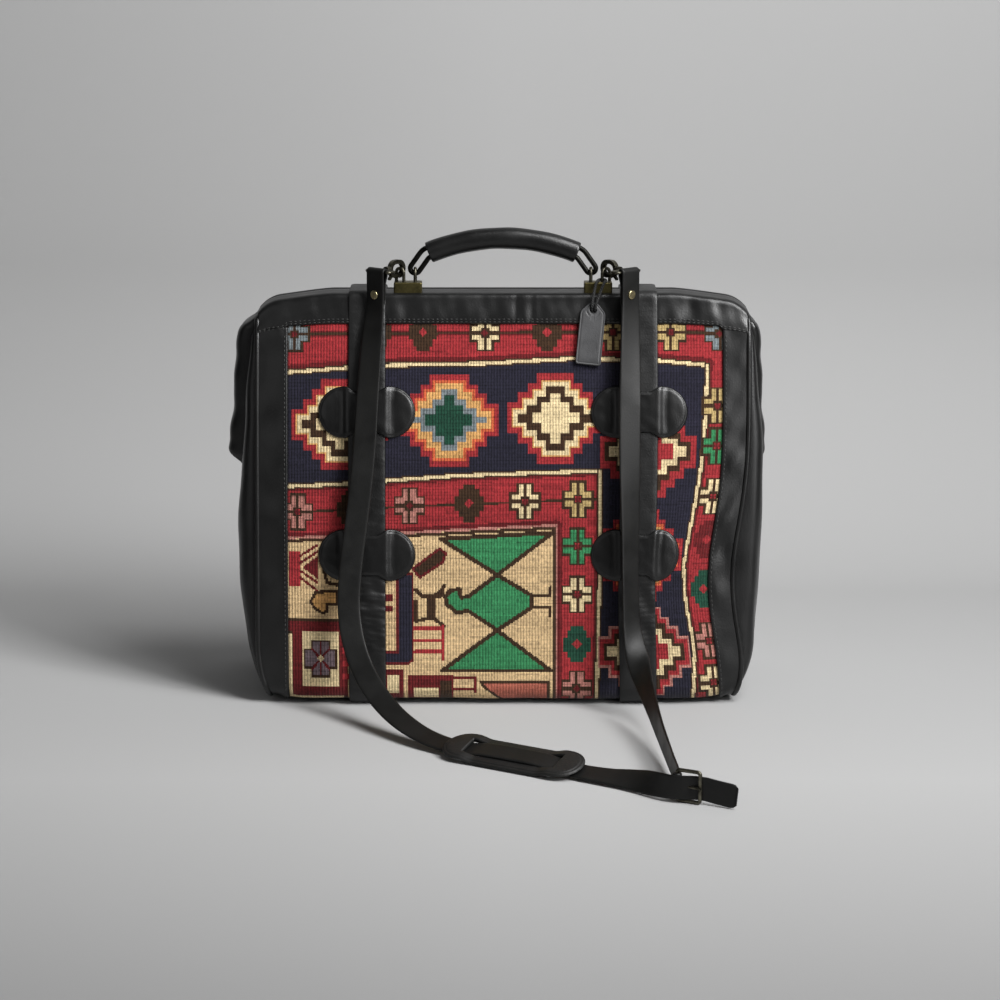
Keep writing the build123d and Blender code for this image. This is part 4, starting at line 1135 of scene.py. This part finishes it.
def make_belt(name, x, profile):
    """Belt round the whole bag: a strap section carried round the side outline, with cross creases on its
    front where it is bent in use, and its tongue lapped over it on the back."""
    sizes = bpy.context.scene.bag_sizes
    thickness = sizes.belt_thickness
    bent_top, bent_foot, bent_relief, plain_relief = 0.118, 0.050, 0.00032, 0.00010
    lap_top, lap_foot, tip_length = 0.236, 0.162, 0.012
    run = np.linspace(0.0, profile[0, -1], 380)
    behind = run[1:-1][::-1]
    rise = thickness / 2 + 0.0002
    line = np.concatenate([on_bag(profile, x, run, rise, -1), on_bag(profile, x, behind, rise, 1)])
    up = np.concatenate([normals_on_bag(profile, run, -1), normals_on_bag(profile, behind, 1)])
    across = np.repeat(np.array([[1.0, 0, 0]]), len(line), 0)
    section = strap_section(sizes.belt_width, thickness, 0.00035, 0.0022, 21)
    loops = sweep(section, line, across, up)
    low, high = length_at(profile, [bent_top, bent_foot])
    bent = smooth_step(low - 0.004, low + 0.012, run) * (1 - smooth_step(high - 0.02, high + 0.012, run))
    bent = bent_relief * bent + plain_relief
    creases = bent[:, None] * waves(section[:, 0] * 0.35, run[:, None], 81 + round(x * 100), 9, 0.013)
    loops[: len(run)] += up[: len(run), None] * creases[..., None]
    leather_skin(name, loops, belt_leather(), closed=True)
    start, end = length_at(profile, [lap_top, lap_foot])
    lap = np.linspace(start, end, 60)
    tip = 1 - 0.9 * np.clip((lap - end + tip_length) / tip_length, 0, 1) ** 2
    line = on_bag(profile, x, lap, 1.5 * thickness + 0.0003, 1)
    across = np.array([[1.0, 0, 0]]) * (sizes.belt_width * tip)[:, None]
    loops = sweep(strap_section(1.0, thickness), line, across, normals_on_bag(profile, lap, 1))
    place(loft(f"{name}_tongue", loops, belt_leather()), "bag", "black_leather")


def make_loop(name, x, profile):
    """Leather loop behind the buckle, over both layers of the belt."""
    sizes = bpy.context.scene.bag_sizes
    foot, height, width, thickness = 0.0004, 0.176, 0.014, 0.0018
    half = sizes.belt_width / 2 + 0.0015
    high = 2 * sizes.belt_thickness + 0.0016
    share = np.linspace(-1, 1, 41)
    across = np.sign(share) * np.abs(share) ** 0.6 * half
    lift = foot + (high - foot) * (1 - np.abs(share) ** 10) ** 0.4
    run = length_at(profile, height)
    middle = on_bag(profile, x + across, run, lift, 1)
    along = unit(np.gradient(middle, axis=0))
    aside = np.cross(normals_on_bag(profile, run + 0 * across, 1), np.array([1.0, 0, 0]))
    loops = sweep(strap_section(width, thickness, 0.0002), middle, aside, unit(np.cross(along, aside)))
    leather_skin(name, loops, belt_leather())


def make_keeper(name, x, z, side, profile):
    """Two-lobed tab over a belt: its half height swells from the bridge to two round ends. It lies on the
    carpet, climbs over the belt, and has a bead along its edge, a seam beside the belt and padded ends."""
    sizes = bpy.context.scene.bag_sizes
    reach, radius, waist, waist_reach = 0.020, 0.023, 0.018, 0.008
    gap, thickness, clearance, padding, pad_ramp = 0.0002, 0.0024, 0.0003, 0.0011, 0.008
    climb_start, climb_end = sizes.belt_width / 2 - 0.001, sizes.belt_width / 2 + 0.009
    bead_depth, bead_ratio, bead_width = 0.00045, 0.915, 0.018
    seam_depth, seam_offset, seam_width, wrinkle_depth = 0.0004, 0.0008, 0.0012, 0.00010
    row_half, row_inset, row_rise = 0.0175, 0.0012, 0.0031
    u = (reach + radius) * spread(91)
    far = np.abs(u)
    beyond = np.maximum(far - reach, 0)
    lobe = np.sqrt(np.clip(radius**2 - beyond**2, 0, None))
    half = np.where(far > reach, lobe, waist + (radius - waist) * smooth_step(waist_reach, reach, far))
    w = spread(37)
    v = half[:, None] * w[None]
    ratio = np.where(far[:, None] > reach, np.hypot(beyond[:, None], v) / radius, np.abs(w)[None])
    rim = np.sqrt(np.clip(1 - ratio**14, 0, 1))
    over = 1 - smooth_step(climb_start, climb_end, far)
    lift = over[:, None] * (sizes.belt_thickness + clearance)
    pad = padding * (1 - ratio**2) * smooth_step(reach, reach + pad_ramp, far)[:, None]
    bead = -bead_depth * bump(ratio, bead_ratio, bead_width)
    seam = -seam_depth * bump(far, reach + seam_offset, seam_width)[:, None] * (ratio < 0.93)
    wrinkle = wrinkle_depth * waves(u[:, None], v, 71 + side, 8, 0.022) * rim
    top = gap + lift + thickness * rim + pad + bead + seam + wrinkle
    middle = length_at(profile, z)
    outer, inner = [
        on_bag(profile, x + u[:, None], middle - v, level, side) for level in (top, lift * 0.98)
    ]
    leather_sheet(name, outer, inner, u[:, None], v)
    run = middle - np.linspace(-row_half, row_half, 40)
    rows = []
    for hand in (-1, 1):
        spots = on_bag(profile, x + hand * (reach - row_inset), run, row_rise, side)
        rows.append((spots, normals_on_bag(profile, run, side)))
    return rows


class BAG_OT_belts(bpy.types.Operator):
    """Make the two belts, the tabs that hold them and their loops"""

    bl_idname = "bag.belts"
    bl_label = "Belts and tabs"

    def execute(self, context):
        profile = half_profile()
        sizes = context.scene.bag_sizes
        rows = []
        for name, hand in HANDS:
            x = hand * sizes.belt_x
            make_belt(f"{name}_belt", x, profile)
            make_loop(f"{name}_belt_loop", x, profile)
            for face, side in FACES:
                for level in ("upper", "lower"):
                    node = f"{face}_{level}_{name}_keeper"
                    low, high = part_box(node)
                    rows += make_keeper(node, x, (low.z + high.z) / 2, side, profile)
        stitching("keeper_stitches", rows)
        return {"FINISHED"}


# Handle


class BAG_OT_handle(bpy.types.Operator):
    """Wrap the leather grip round the handle's rods"""

    bl_idname = "bag.handle"
    bl_label = "Handle grip"

    def execute(self, context):
        make_grip()
        return {"FINISHED"}


def make_grip():
    """Leather grip: an oval section carried round the handle's arc, turned in at its cut ends, with a sewn
    ridge along its foot."""
    radius, arc, half_span, end_length, end_share = 0.0092, 0.174, 0.066, 0.0016, 0.90
    ripple, ripple_count, ridge_rise, ridge_width, oval, cap_share = 0.02, 31, 0.07, 0.12, 0.98, 0.72
    y = (GRIP_LOW.y + GRIP_HIGH.y) / 2
    crown = GRIP_HIGH.z - radius
    turn = math.asin(half_span / arc)
    share = spread(120)
    angle = turn * share
    end = np.clip((1 - np.abs(share)) * turn * arc / end_length, 0, 1)
    swell = radius * (end_share + (1 - end_share) * np.sqrt(1 - (1 - end) ** 2))
    swell = swell * (1 + ripple * np.sin(angle * ripple_count) * np.exp(-np.abs(angle) * 2))
    spin = np.arange(48) * math.pi / 24
    ridge = 1 + ridge_rise * bump(np.angle(np.exp(1j * (spin + math.pi / 2))), 0, ridge_width)
    section = np.stack([oval * np.cos(spin), np.sin(spin)], 1) * ridge[:, None]
    middle = np.stack([arc * np.sin(angle), np.full_like(angle, y), crown - arc + arc * np.cos(angle)], 1)
    out = np.stack([np.sin(angle), 0 * angle, np.cos(angle)], 1)
    across = np.repeat(np.array([[0.0, 1.0, 0.0]]), len(angle), 0)
    loops = sweep(section, middle, across * swell[:, None], out * swell[:, None])
    caps = middle[[0, -1]][:, None] + (loops[[0, -1]] - middle[[0, -1]][:, None]) * cap_share
    loops = np.concatenate([caps[:1], loops, caps[1:]])
    grip = leather("grip leather", bpy.context.scene.leather_colours.black, 0.36, 650.0, 0.00018, 30.0)
    place(loft("handle_grip_leather", loops, grip), "handle", "black_leather", "handle_grip")


# Shoulder strap


RING_X, RING_Y, WIRE_Z = 91.5, -13.0, 381.8
SNAP_YAW = 50.0
EYE_BAR = 30.1
FOLD_MIDDLE = 2.6
FOLD_LENGTH = 28.0
ADJUSTER_X, ADJUSTER_Y, ADJUSTER_YAW = 148.0, -361.0, -26.9
HEEL_OFFSET, HEEL_TURN = 10, 2.9
LONG_ROUTE = [
    ((-116.0, -49.0, 318.0), (0.93, -0.36, 0.0)),
    ((-119.5, -64.0, 271.0), (0.98, -0.18, 0.0)),
    ((-121.6, -75.0, 229.0), (1.0, 0.0, 0.0)),
    ((-127.0, -84.5, 180.0), (1.0, 0.05, 0.05)),
    ((-134.0, -94.5, 130.0), (0.98, 0.10, 0.18)),
    ((-136.5, -103.0, 92.0), (0.97, 0.10, 0.22)),
    ((-130.5, -117.0, 60.0), (0.93, 0.10, 0.35)),
    ((-117.0, -142.0, 36.0), (0.85, 0.30, 0.42)),
    ((-97.0, -174.0, 19.5), (0.72, 0.60, 0.36)),
    ((-74.0, -203.5, 10.5), (0.58, 0.76, 0.29)),
    ((-52.0, -224.5, 7.0), (0.51, 0.82, 0.26)),
    ((-30.6, -239.6, 6.4), (0.497, 0.828, 0.259)),
    ((-16.5, -249.2, 10.1), (0.497, 0.828, 0.259)),
    ((8.3, -264.1, 10.3), (0.497, 0.828, 0.259)),
    ((33.2, -279.0, 10.1), (0.497, 0.828, 0.259)),
    ((48.3, -286.9, 6.4), (0.497, 0.828, 0.259)),
    ((68.0, -299.5, 5.4), (0.50, 0.82, 0.27)),
    ((88.0, -312.0, 6.2), (0.48, 0.79, 0.37)),
    ((107.0, -327.0, 8.4), (0.40, 0.66, 0.64)),
    ((122.5, -347.5, 11.6), (0.18, 0.26, 0.95)),
    ((136.4, -361.8, 13.4), (0.0, 0.0, 1.0)),
    ((158.4, -362.5, 13.4), (0.0, 0.0, 1.0)),
    ((171.0, -370.0, 11.6), (0.0, 0.04, 1.0)),
    ((187.0, -378.0, 10.3), (0.0, 0.08, 1.0)),
]
SHORT_ROUTE = [
    ((112.5, -49.5, 316.0), (0.88, 0.46, 0.0)),
    ((111.5, -65.0, 268.0), (0.97, 0.24, 0.0)),
    ((111.5, -79.0, 215.0), (0.93, 0.36, 0.0)),
    ((112.0, -89.0, 160.0), (0.78, 0.62, 0.0)),
    ((112.0, -98.5, 110.0), (0.70, 0.70, 0.10)),
    ((113.5, -106.0, 72.0), (0.70, 0.62, 0.32)),
    ((119.0, -121.0, 47.0), (0.58, 0.44, 0.68)),
    ((124.5, -148.0, 33.0), (0.38, 0.28, 0.87)),
    ((129.0, -185.0, 24.0), (0.22, 0.14, 0.96)),
    ((133.0, -228.0, 17.5), (0.10, 0.06, 0.99)),
    ((136.5, -271.0, 14.4), (0.04, 0.02, 1.0)),
    ((139.0, -309.0, 13.6), (0.0, 0.0, 1.0)),
    ((141.0, -338.0, 13.4), (0.0, 0.0, 1.0)),
    ((141.8, -357.4, 13.4), (0.0, 0.0, 1.0)),
]


def snap_frame(hand):
    """Point on the wire that a snap hook holds, and the directions along the hook and across it."""
    turn = math.radians(-SNAP_YAW if hand > 0 else 180 + SNAP_YAW)
    along = np.array([math.cos(turn), math.sin(turn), 0])
    across = np.array([-math.sin(turn), math.cos(turn), 0])
    return np.array([hand * RING_X, RING_Y, WIRE_Z]) * mm, along, across


def make_strap(name, hand, route, node):
    """Leather strap: a flap behind, a half turn over the eye's bar, and then the route's spline, as one
    section carried along them. Its width turns with the directions given at the route's points."""
    step, crease, crease_inset, tip_length, tip_share = 0.0024, 0.0003, 0.0021, 0.006, 0.72
    sizes = bpy.context.scene.bag_sizes
    origin, along, across = snap_frame(hand)
    bar = origin + along * EYE_BAR * mm
    radius = FOLD_MIDDLE * mm
    down = np.array([0, 0, -1.0])
    turn = np.linspace(math.pi, 0, 15)[:, None]
    turned = bar + radius * (np.cos(turn) * along + np.sin(turn) * -down)
    drop = np.array([FOLD_LENGTH, 23, 18, 14, 9, 4])[:, None] * mm
    lean = np.array([0.4, 0.4, 0.4, 0.4, -0.4, -0.9])[:, None] * mm
    flap = bar + along * lean + down * drop
    flap[-1] = bar - along * radius + down * 3 * mm
    foot = bar + along * radius + down * FOLD_LENGTH * mm
    head = [bar + along * radius, bar + along * radius + down * 10 * mm, foot]
    control = np.concatenate([head, np.array([point for point, _ in route]) * mm])
    widths = np.concatenate([[across] * 3, np.array([width for _, width in route])])
    line = route_line(control)
    spots = np.arange(0, lengths(line)[-1], step)
    middle = along_line(line, line, spots)
    nearest = lengths(control) / lengths(control)[-1]
    share = spots / lengths(line)[-1]
    width = np.stack([np.interp(share, nearest, widths[:, k]) for k in range(3)], 1)
    path = np.concatenate([flap, turned[:-1], middle])
    width = np.concatenate([np.repeat(across[None], len(flap) + len(turned) - 1, 0), width])
    heading = unit(np.gradient(path, axis=0))
    width = unit(width - heading * np.einsum("ij,ij->i", width, heading)[:, None])
    up = np.cross(width, heading)
    section = strap_section(sizes.strap_width, sizes.strap_thickness, crease, crease_inset)
    loops = sweep(section, path, width, up)
    tip = np.clip((lengths(path)[-1] - lengths(path)) / tip_length, 0, 1)
    shrink = np.where(hand < 0, tip_share + (1 - tip_share) * np.sqrt(1 - (1 - tip) ** 2), 1.0)
    loops = path[:, None] + (loops - path[:, None]) * shrink[:, None, None]
    obj = place(loft(name, loops, strap_leather()), "bag", "strap_leather", node)
    return obj, line


def make_sleeve():
    """End of the short strap, turned round the heel bar of the adjuster."""
    sizes = bpy.context.scene.bag_sizes
    low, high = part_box("adjuster_frame")
    turn_z = (low.z + high.z) / 2
    heading = math.radians(ADJUSTER_YAW)
    ahead = np.array([math.cos(heading), math.sin(heading), 0])
    aside = np.array([-math.sin(heading), math.cos(heading), 0])
    heel = np.array([ADJUSTER_X, ADJUSTER_Y, 0]) * mm - ahead * HEEL_OFFSET * mm + np.array([0, 0, turn_z])
    spin = np.linspace(0, 2 * math.pi, 41)[:-1]
    up = np.cos(spin)[:, None] * ahead + np.sin(spin)[:, None] * aside
    ring = heel + HEEL_TURN * mm * up
    width = np.repeat(np.array([[0, 0, 1.0]]), len(spin), 0)
    section = strap_section(sizes.strap_width, sizes.strap_thickness)
    obj = loft("adjuster_sleeve", sweep(section, ring, width, up), strap_leather(), closed=True)
    return place(obj, "bag", "strap_leather")


def make_pad():
    """Shoulder pad: a stadium of soft leather with two slits, low between them and raised over the strap
    beyond them, crowned across and thin along its edge."""
    length, width, thickness = 0.132, 0.040, 0.0036
    rise, middle, ramp_length = 0.0027, 0.029, 0.014
    slit_offset, slit_length, slit_width = 0.036, 0.018, 0.023
    edge_share, crown, groove_depth, groove_ratio, groove_width = 0.35, 0.0005, 0.0005, 0.86, 0.025
    lean, heading = math.radians(15), math.radians(-31)
    spot = np.array([9.0, -263.0, 5.4]) * mm
    u = np.linspace(-length / 2, length / 2, 177)[:, None]
    w = spread(57)[None]
    straight = length / 2 - width / 2
    beyond = np.maximum(np.abs(u) - straight, 0)
    half = np.sqrt(np.clip((width / 2) ** 2 - beyond**2, 0, None))
    v = half * w
    ratio = np.where(beyond > 0, np.hypot(beyond, v) / (width / 2), np.abs(w))
    lift = rise * smooth_step(middle, middle + ramp_length, np.abs(u))
    edge = np.sqrt(np.clip(1 - ratio**8, 0, 1))
    groove = groove_depth * bump(ratio, groove_ratio, groove_width)
    top = lift + thickness * (edge_share + (1 - edge_share) * edge) + crown * (1 - ratio**2) - groove
    foot = lift + thickness * edge_share * (1 - edge)
    keep = ~((np.abs(np.abs(u) - slit_offset) < slit_length / 2) & (np.abs(v) < slit_width / 2))
    keep = keep[:-1, :-1] | keep[1:, 1:] | keep[1:, :-1] | keep[:-1, 1:]
    flat = [grid(u, v, z) for z in (top, foot)]
    tilt = np.array([[1, 0, 0], [0, math.cos(lean), -math.sin(lean)], [0, math.sin(lean), math.cos(lean)]])
    spin = np.array([[math.cos(heading), -math.sin(heading), 0], [math.sin(heading), math.cos(heading), 0],
                     [0, 0, 1]])
    outer, inner = [points @ (spin @ tilt).T + spot for points in flat]
    soft = leather("pad leather", bpy.context.scene.leather_colours.strap, 0.5, 600.0, 0.0002, 35.0)
    obj = slab("shoulder_pad_leather", outer, inner, soft, grid(u, v), keep)
    place(obj, "bag", "strap_leather", "shoulder_pad")
    return obj


class BAG_OT_straps(bpy.types.Operator):
    """Lay the shoulder strap, its pad and its adjuster"""

    bl_idname = "bag.straps"
    bl_label = "Shoulder strap"

    def execute(self, context):
        long_strap, long_line = make_strap("long_strap_leather", -1, LONG_ROUTE, "long_strap")
        short_strap, short_line = make_strap("short_strap_leather", 1, SHORT_ROUTE, "short_strap")
        pad = make_pad()
        sleeve = make_sleeve()
        return {"FINISHED"}


# Luggage tag


TAG_ROUTE = [
    (78.6, -29.0, 345.8),
    (78.6, -32.8, 349.6),
    (79.3, -31.8, 356.0),
    (80.8, -27.6, 364.0),
    (82.6, -23.4, 370.2),
    (84.2, -18.8, 371.7),
    (85.2, -14.0, 371.7),
    (88.2, -11.8, 371.7),
    (91.2, -14.4, 371.7),
    (91.2, -19.4, 371.7),
    (89.4, -23.6, 370.2),
    (86.8, -27.8, 364.0),
    (83.4, -31.9, 356.0),
    (81.4, -32.8, 349.6),
    (81.2, -29.0, 345.8),
]


def tag_outline(count):
    """Rounded outline of the tag about its hole, with cut upper corners: corner points, each softened by a
    quadratic curve, then spaced evenly."""
    half, length, cut, hole, soft = 11.25, 53.0, 8.0, 6.0, 2.6
    corners = np.array([(-half, -cut), (-half + cut, 0), (half - cut, 0), (half, -cut), (half, -length),
                        (-half, -length)]) + np.array([0, hole])
    before, after = np.roll(corners, 1, 0), np.roll(corners, -1, 0)
    start = corners + unit(before - corners) * soft
    end = corners + unit(after - corners) * soft
    t = np.linspace(0, 1, 9)[None, :, None]
    arcs = (1 - t) ** 2 * start[:, None] + 2 * t * (1 - t) * corners[:, None] + t**2 * end[:, None]
    line = np.concatenate([arcs.reshape(-1, 2), arcs[:1, 0]])
    spots = np.linspace(0, lengths(line)[-1], count + 1)[:-1]
    return along_line(line, line, spots) * mm


def make_tag(profile):
    """Leather tag: rings from its rim in to its hole, with a pressed line round the rim, a crescent below
    the hole, and a plain face."""
    foot_level, thickness, hole_radius = 0.0004, 0.0024, 0.003
    crescent_radius, crescent_width, crescent_depth = 0.0058, 0.0006, 0.0005
    middle_x, top_z, hole_drop, tilt = 0.0805, 0.352, 0.006, math.radians(-6)
    outline = tag_outline(160)
    ahead = unit(np.roll(outline, -1, 0) - np.roll(outline, 1, 0))
    inward = np.stack([ahead[:, 1], -ahead[:, 0]], 1)
    inward = inward * np.sign(np.einsum("ij,ij->", inward, -outline))
    hole = hole_radius * unit(outline)
    insets = np.array([0, 0.0003, 0.0008, 0.0013, 0.0016, 0.0019, 0.0026])
    rings = [outline + inward * inset for inset in insets]
    rings += [rings[-1] * (1 - share) + hole * share for share in np.linspace(0.12, 1, 14)]
    rings = np.stack(rings)
    rim = np.zeros(len(rings))
    rim[:6] = [-0.0007, -0.0002, 0, -0.00035, -0.0005, -0.00035]
    rim[-1] = -0.0004
    top = foot_level + thickness + rim[:, None] * np.ones(len(outline))
    far = np.linalg.norm(rings, axis=2)
    crescent = bump(far, crescent_radius, crescent_width) * smooth_step(0, hole_radius, -rings[..., 1])
    top = top - crescent_depth * crescent
    foot = np.full_like(top, foot_level)
    flat = np.concatenate([rings, rings[::-1]])
    level = np.concatenate([top, foot[::-1]])
    x = middle_x + flat[..., 0] * math.cos(tilt) - (flat[..., 1] - hole_drop) * math.sin(tilt)
    z = top_z + flat[..., 0] * math.sin(tilt) + (flat[..., 1] - hole_drop) * math.cos(tilt)
    sizes = bpy.context.scene.bag_sizes
    points = on_bag(profile, x, length_at(profile, z), level + sizes.leather * 0.9, -1)
    loops = np.swapaxes(points, 0, 1)
    colours = bpy.context.scene.leather_colours
    skin = leather("tag leather", colours.tag, 0.5, 900.0, 0.00012, 60.0)
    return place(loft("luggage_tag_leather", loops, skin, closed=True), "bag", "tag_leather", "luggage_tag")


def cord_material():
    """Braided cord: two crossing spirals of strands for its relief, and painted shade between the strands.
    """
    material, tree, shader = new_material("braided cord")
    split = split_place(tree, map_place(tree))
    climb = math_node(tree, "MULTIPLY", split["Y"], 2600.0)
    strands = [
        math_node(tree, "SINE", math_node(tree, "MULTIPLY_ADD", split["X"], slant, climb))
        for slant in (2500.0, -2500.0)
    ]
    braid = math_node(tree, "MAXIMUM", *strands)
    colour = tuple(linear((0.11, 0.11, 0.11)))
    # Painted shade: the colour follows the braid's height, darkest in the gaps between the strands.
    set_inputs(tree, shader, {
        "Base Color": scaled(tree, colour, ramp(tree, braid, -0.4, 1.0, 0.4, 1.3)),
        "Normal": relief(tree, braid, 0.0003),
        "Roughness": 0.75,
    })
    return material


def make_cord():
    """Round cord along the spline of its route, with its frame turned by a fixed direction."""
    line = route_line(np.array(TAG_ROUTE) * mm)
    heading = unit(np.gradient(line, axis=0))
    side = unit(np.cross(heading, np.array([0.3, 0.2, 1.0])))
    loops = sweep(0.0013 * circle(14), line, side, np.cross(heading, side))
    return place(loft("tag_cord_braid", loops, cord_material()), "bag", "cord", "tag_cord"), line


class BAG_OT_tag(bpy.types.Operator):
    """Tie on the luggage tag"""

    bl_idname = "bag.tag"
    bl_label = "Luggage tag"

    def execute(self, context):
        tag = make_tag(half_profile())
        cord, line = make_cord()
        return {"FINISHED"}


# Hardware


class BAG_OT_hardware(bpy.types.Operator):
    """Plate the hooks, rings, buckles, brackets and rivets"""

    bl_idname = "bag.hardware"
    bl_label = "Metal fittings"

    def execute(self, context):
        colours = context.scene.leather_colours
        gunmetal, bronze, brass = map(np.array, (colours.gunmetal, colours.bronze, colours.brass))
        finish = {
            "gunmetal": metal("gunmetal", gunmetal * 0.55, gunmetal * 1.25, 0.36),
            "bronze": metal("bronze", bronze * 0.62, bronze * 1.1, 0.42, 120.0),
            "rivet_brass": metal("rivet brass", brass * 0.75, brass * 1.1, 0.3, 260.0),
            "frame_steel": metal("frame steel", (0.5, 0.5, 0.5), (0.62, 0.62, 0.62), 0.35),
            "board": leather("pressed board", (0.52, 0.43, 0.31), 0.8, 500.0, 0.0002, 40.0),
            "black_leather": black_leather(),
        }
        iron = metal("black iron", (0.09, 0.09, 0.085), (0.16, 0.16, 0.15), 0.4)
        slots = {part["node"]: part["material_slot"] for part in frame["record"]["subparts"]}
        for name, obj in frame["nodes"].items():
            obj.data.materials.clear()
            shown = iron if name == "handle_core" else finish.get(slots[name], finish["gunmetal"])
            obj.data.materials.append(shown)
        return {"FINISHED"}


# Stage


def stage_material():
    """Matt paper sweep with painted shade that makes it darker to the front and the right, and seen through
    from behind.
    """
    material, tree, shader = new_material("paper sweep")
    split = split_place(tree, object_place(tree))
    # Painted shade: the floor colour is darkened towards the camera and towards the right.
    front = ramp(tree, split["Y"], -0.95, -0.30, 0.48, 1.0)
    right = ramp(tree, split["X"], 0.0, 1.0, 1.0, 0.65)
    colour = tuple(linear(bpy.context.scene.leather_colours.floor))
    set_inputs(tree, shader, {
        "Base Color": scaled(tree, colour, math_node(tree, "MULTIPLY", front, right)),
        "Roughness": 0.9,
        "Specular IOR Level": 0.1,
    })
    clear = add_node(tree, "ShaderNodeBsdfTransparent")
    behind = add_node(tree, "ShaderNodeNewGeometry").outputs["Backfacing"]
    mix = add_node(tree, "ShaderNodeMixShader", {0: behind, 1: shader.outputs[0], 2: clear.outputs[0]})
    tree.links.new(mix.outputs[0], tree.nodes["Material Output"].inputs["Surface"])
    return material


def make_sweep():
    """Paper sweep: a floor, a quarter round and an upright wall, carried across."""
    reach, wall_y, radius, top = 7.0, 0.62, 0.30, 2.2
    turn = np.linspace(-math.pi / 2, 0, 25)
    y = np.concatenate([[-reach], wall_y - radius + radius * np.cos(turn), [wall_y]])
    z = np.concatenate([[0.0], radius + radius * np.sin(turn), [top]])
    x = np.array([-reach, reach])
    points = grid(x[None], y[:, None], z[:, None])
    faces = grid_faces(len(y), 2)[0][:, ::-1]
    mesh = bpy.data.meshes.new("paper_sweep")
    mesh.from_pydata(points.reshape(-1, 3).tolist(), [], faces.tolist())
    mesh.polygons.foreach_set("use_smooth", np.full(len(faces), True))
    mesh.materials.append(stage_material())
    obj = bpy.data.objects.new("paper_sweep", mesh)
    bpy.context.scene.collection.objects.link(obj)


# Lamps: name, place, height of the point that they look at, width and power
LAMPS = (
    ("key", (1.8, -1.5, 1.8), 0.15, 0.8, 82),
    ("fill", (-1.5, -2.3, 1.3), 0.15, 1.6, 5),
    ("top", (0.8, -0.7, 2.0), 0.2, 0.9, 34),
    ("front", (1.4, -2.0, 0.7), 0.2, 0.7, 8),
    ("rear", (-1.2, 2.4, 1.6), 0.2, 1.4, 22),
)


def add_lamp(name, spot, target_height, width, power):
    """Square soft box that points at the bag's middle."""
    data = bpy.data.lights.new(name, "AREA")
    data.shape = "SQUARE"
    data.size = width
    data.energy = power
    lamp = bpy.data.objects.new(name, data)
    back = np.array(spot) - np.array([0, 0, target_height])
    lamp.location = spot
    lamp.rotation_euler = (math.acos(back[2] / np.linalg.norm(back)), 0, math.atan2(back[0], -back[1]))
    bpy.context.scene.collection.objects.link(lamp)


class BAG_OT_stage(bpy.types.Operator):
    """Set the camera, the lamps and the paper sweep"""

    bl_idname = "bag.stage"
    bl_label = "Stage"

    def execute(self, context):
        scene = context.scene
        scene.view_settings.view_transform = "Standard"
        data = bpy.data.cameras.new("camera")
        data.sensor_width = 36.0
        data.lens = 102.96
        data.shift_x = -0.003
        camera = bpy.data.objects.new("camera", data)
        elevation, distance, target_height = math.radians(12.5), 2.6, 0.168
        rise = distance * math.sin(elevation)
        camera.location = (0, -distance * math.cos(elevation), target_height + rise)
        camera.rotation_euler = (math.pi / 2 - elevation, 0, 0)
        scene.collection.objects.link(camera)
        scene.camera = camera
        world = bpy.data.worlds.new("room")
        world.use_nodes = True
        room = world.node_tree.nodes["Background"]
        set_inputs(world.node_tree, room, {"Color": (1, 1, 1, 1), "Strength": 0.05})
        scene.world = world
        for lamp in LAMPS:
            add_lamp(*lamp)
        make_sweep()
        return {"FINISHED"}


class BAG_PT_tools(bpy.types.Panel):
    """Buttons and values of the bag"""

    bl_label = "Carpet bag"
    bl_idname = "BAG_PT_tools"
    bl_space_type = "VIEW_3D"
    bl_region_type = "UI"
    bl_category = "Carpet bag"

    def draw(self, context):
        for operator in OPERATORS:
            self.layout.operator(operator.bl_idname)
        for group in (context.scene.bag_sizes, context.scene.kilim_colours, context.scene.leather_colours):
            box = self.layout.box()
            for key in group.bl_rna.properties.keys():
                if key not in ("rna_type", "name"):
                    box.prop(group, key)


OPERATORS = (BAG_OT_stage, BAG_OT_straps, BAG_OT_hardware, BAG_OT_carpet, BAG_OT_leather, BAG_OT_sides,
             BAG_OT_belts, BAG_OT_handle, BAG_OT_tag)
CLASSES = (BagSizes, KilimColours, LeatherColours, *OPERATORS, BAG_PT_tools)


def register():
    for item in CLASSES:
        bpy.utils.register_class(item)
    bpy.types.Scene.bag_sizes = bpy.props.PointerProperty(type=BagSizes)
    bpy.types.Scene.kilim_colours = bpy.props.PointerProperty(type=KilimColours)
    bpy.types.Scene.leather_colours = bpy.props.PointerProperty(type=LeatherColours)


def unregister():
    del bpy.types.Scene.leather_colours
    del bpy.types.Scene.kilim_colours
    del bpy.types.Scene.bag_sizes
    for item in reversed(CLASSES):
        bpy.utils.unregister_class(item)


def main():
    register()
    bpy.ops.bag.stage()
    bpy.ops.bag.straps()
    bpy.ops.bag.hardware()
    bpy.ops.bag.carpet()
    bpy.ops.bag.leather()
    bpy.ops.bag.sides()
    bpy.ops.bag.belts()
    bpy.ops.bag.handle()
    bpy.ops.bag.tag()


if __name__ == "__main__":
    main()
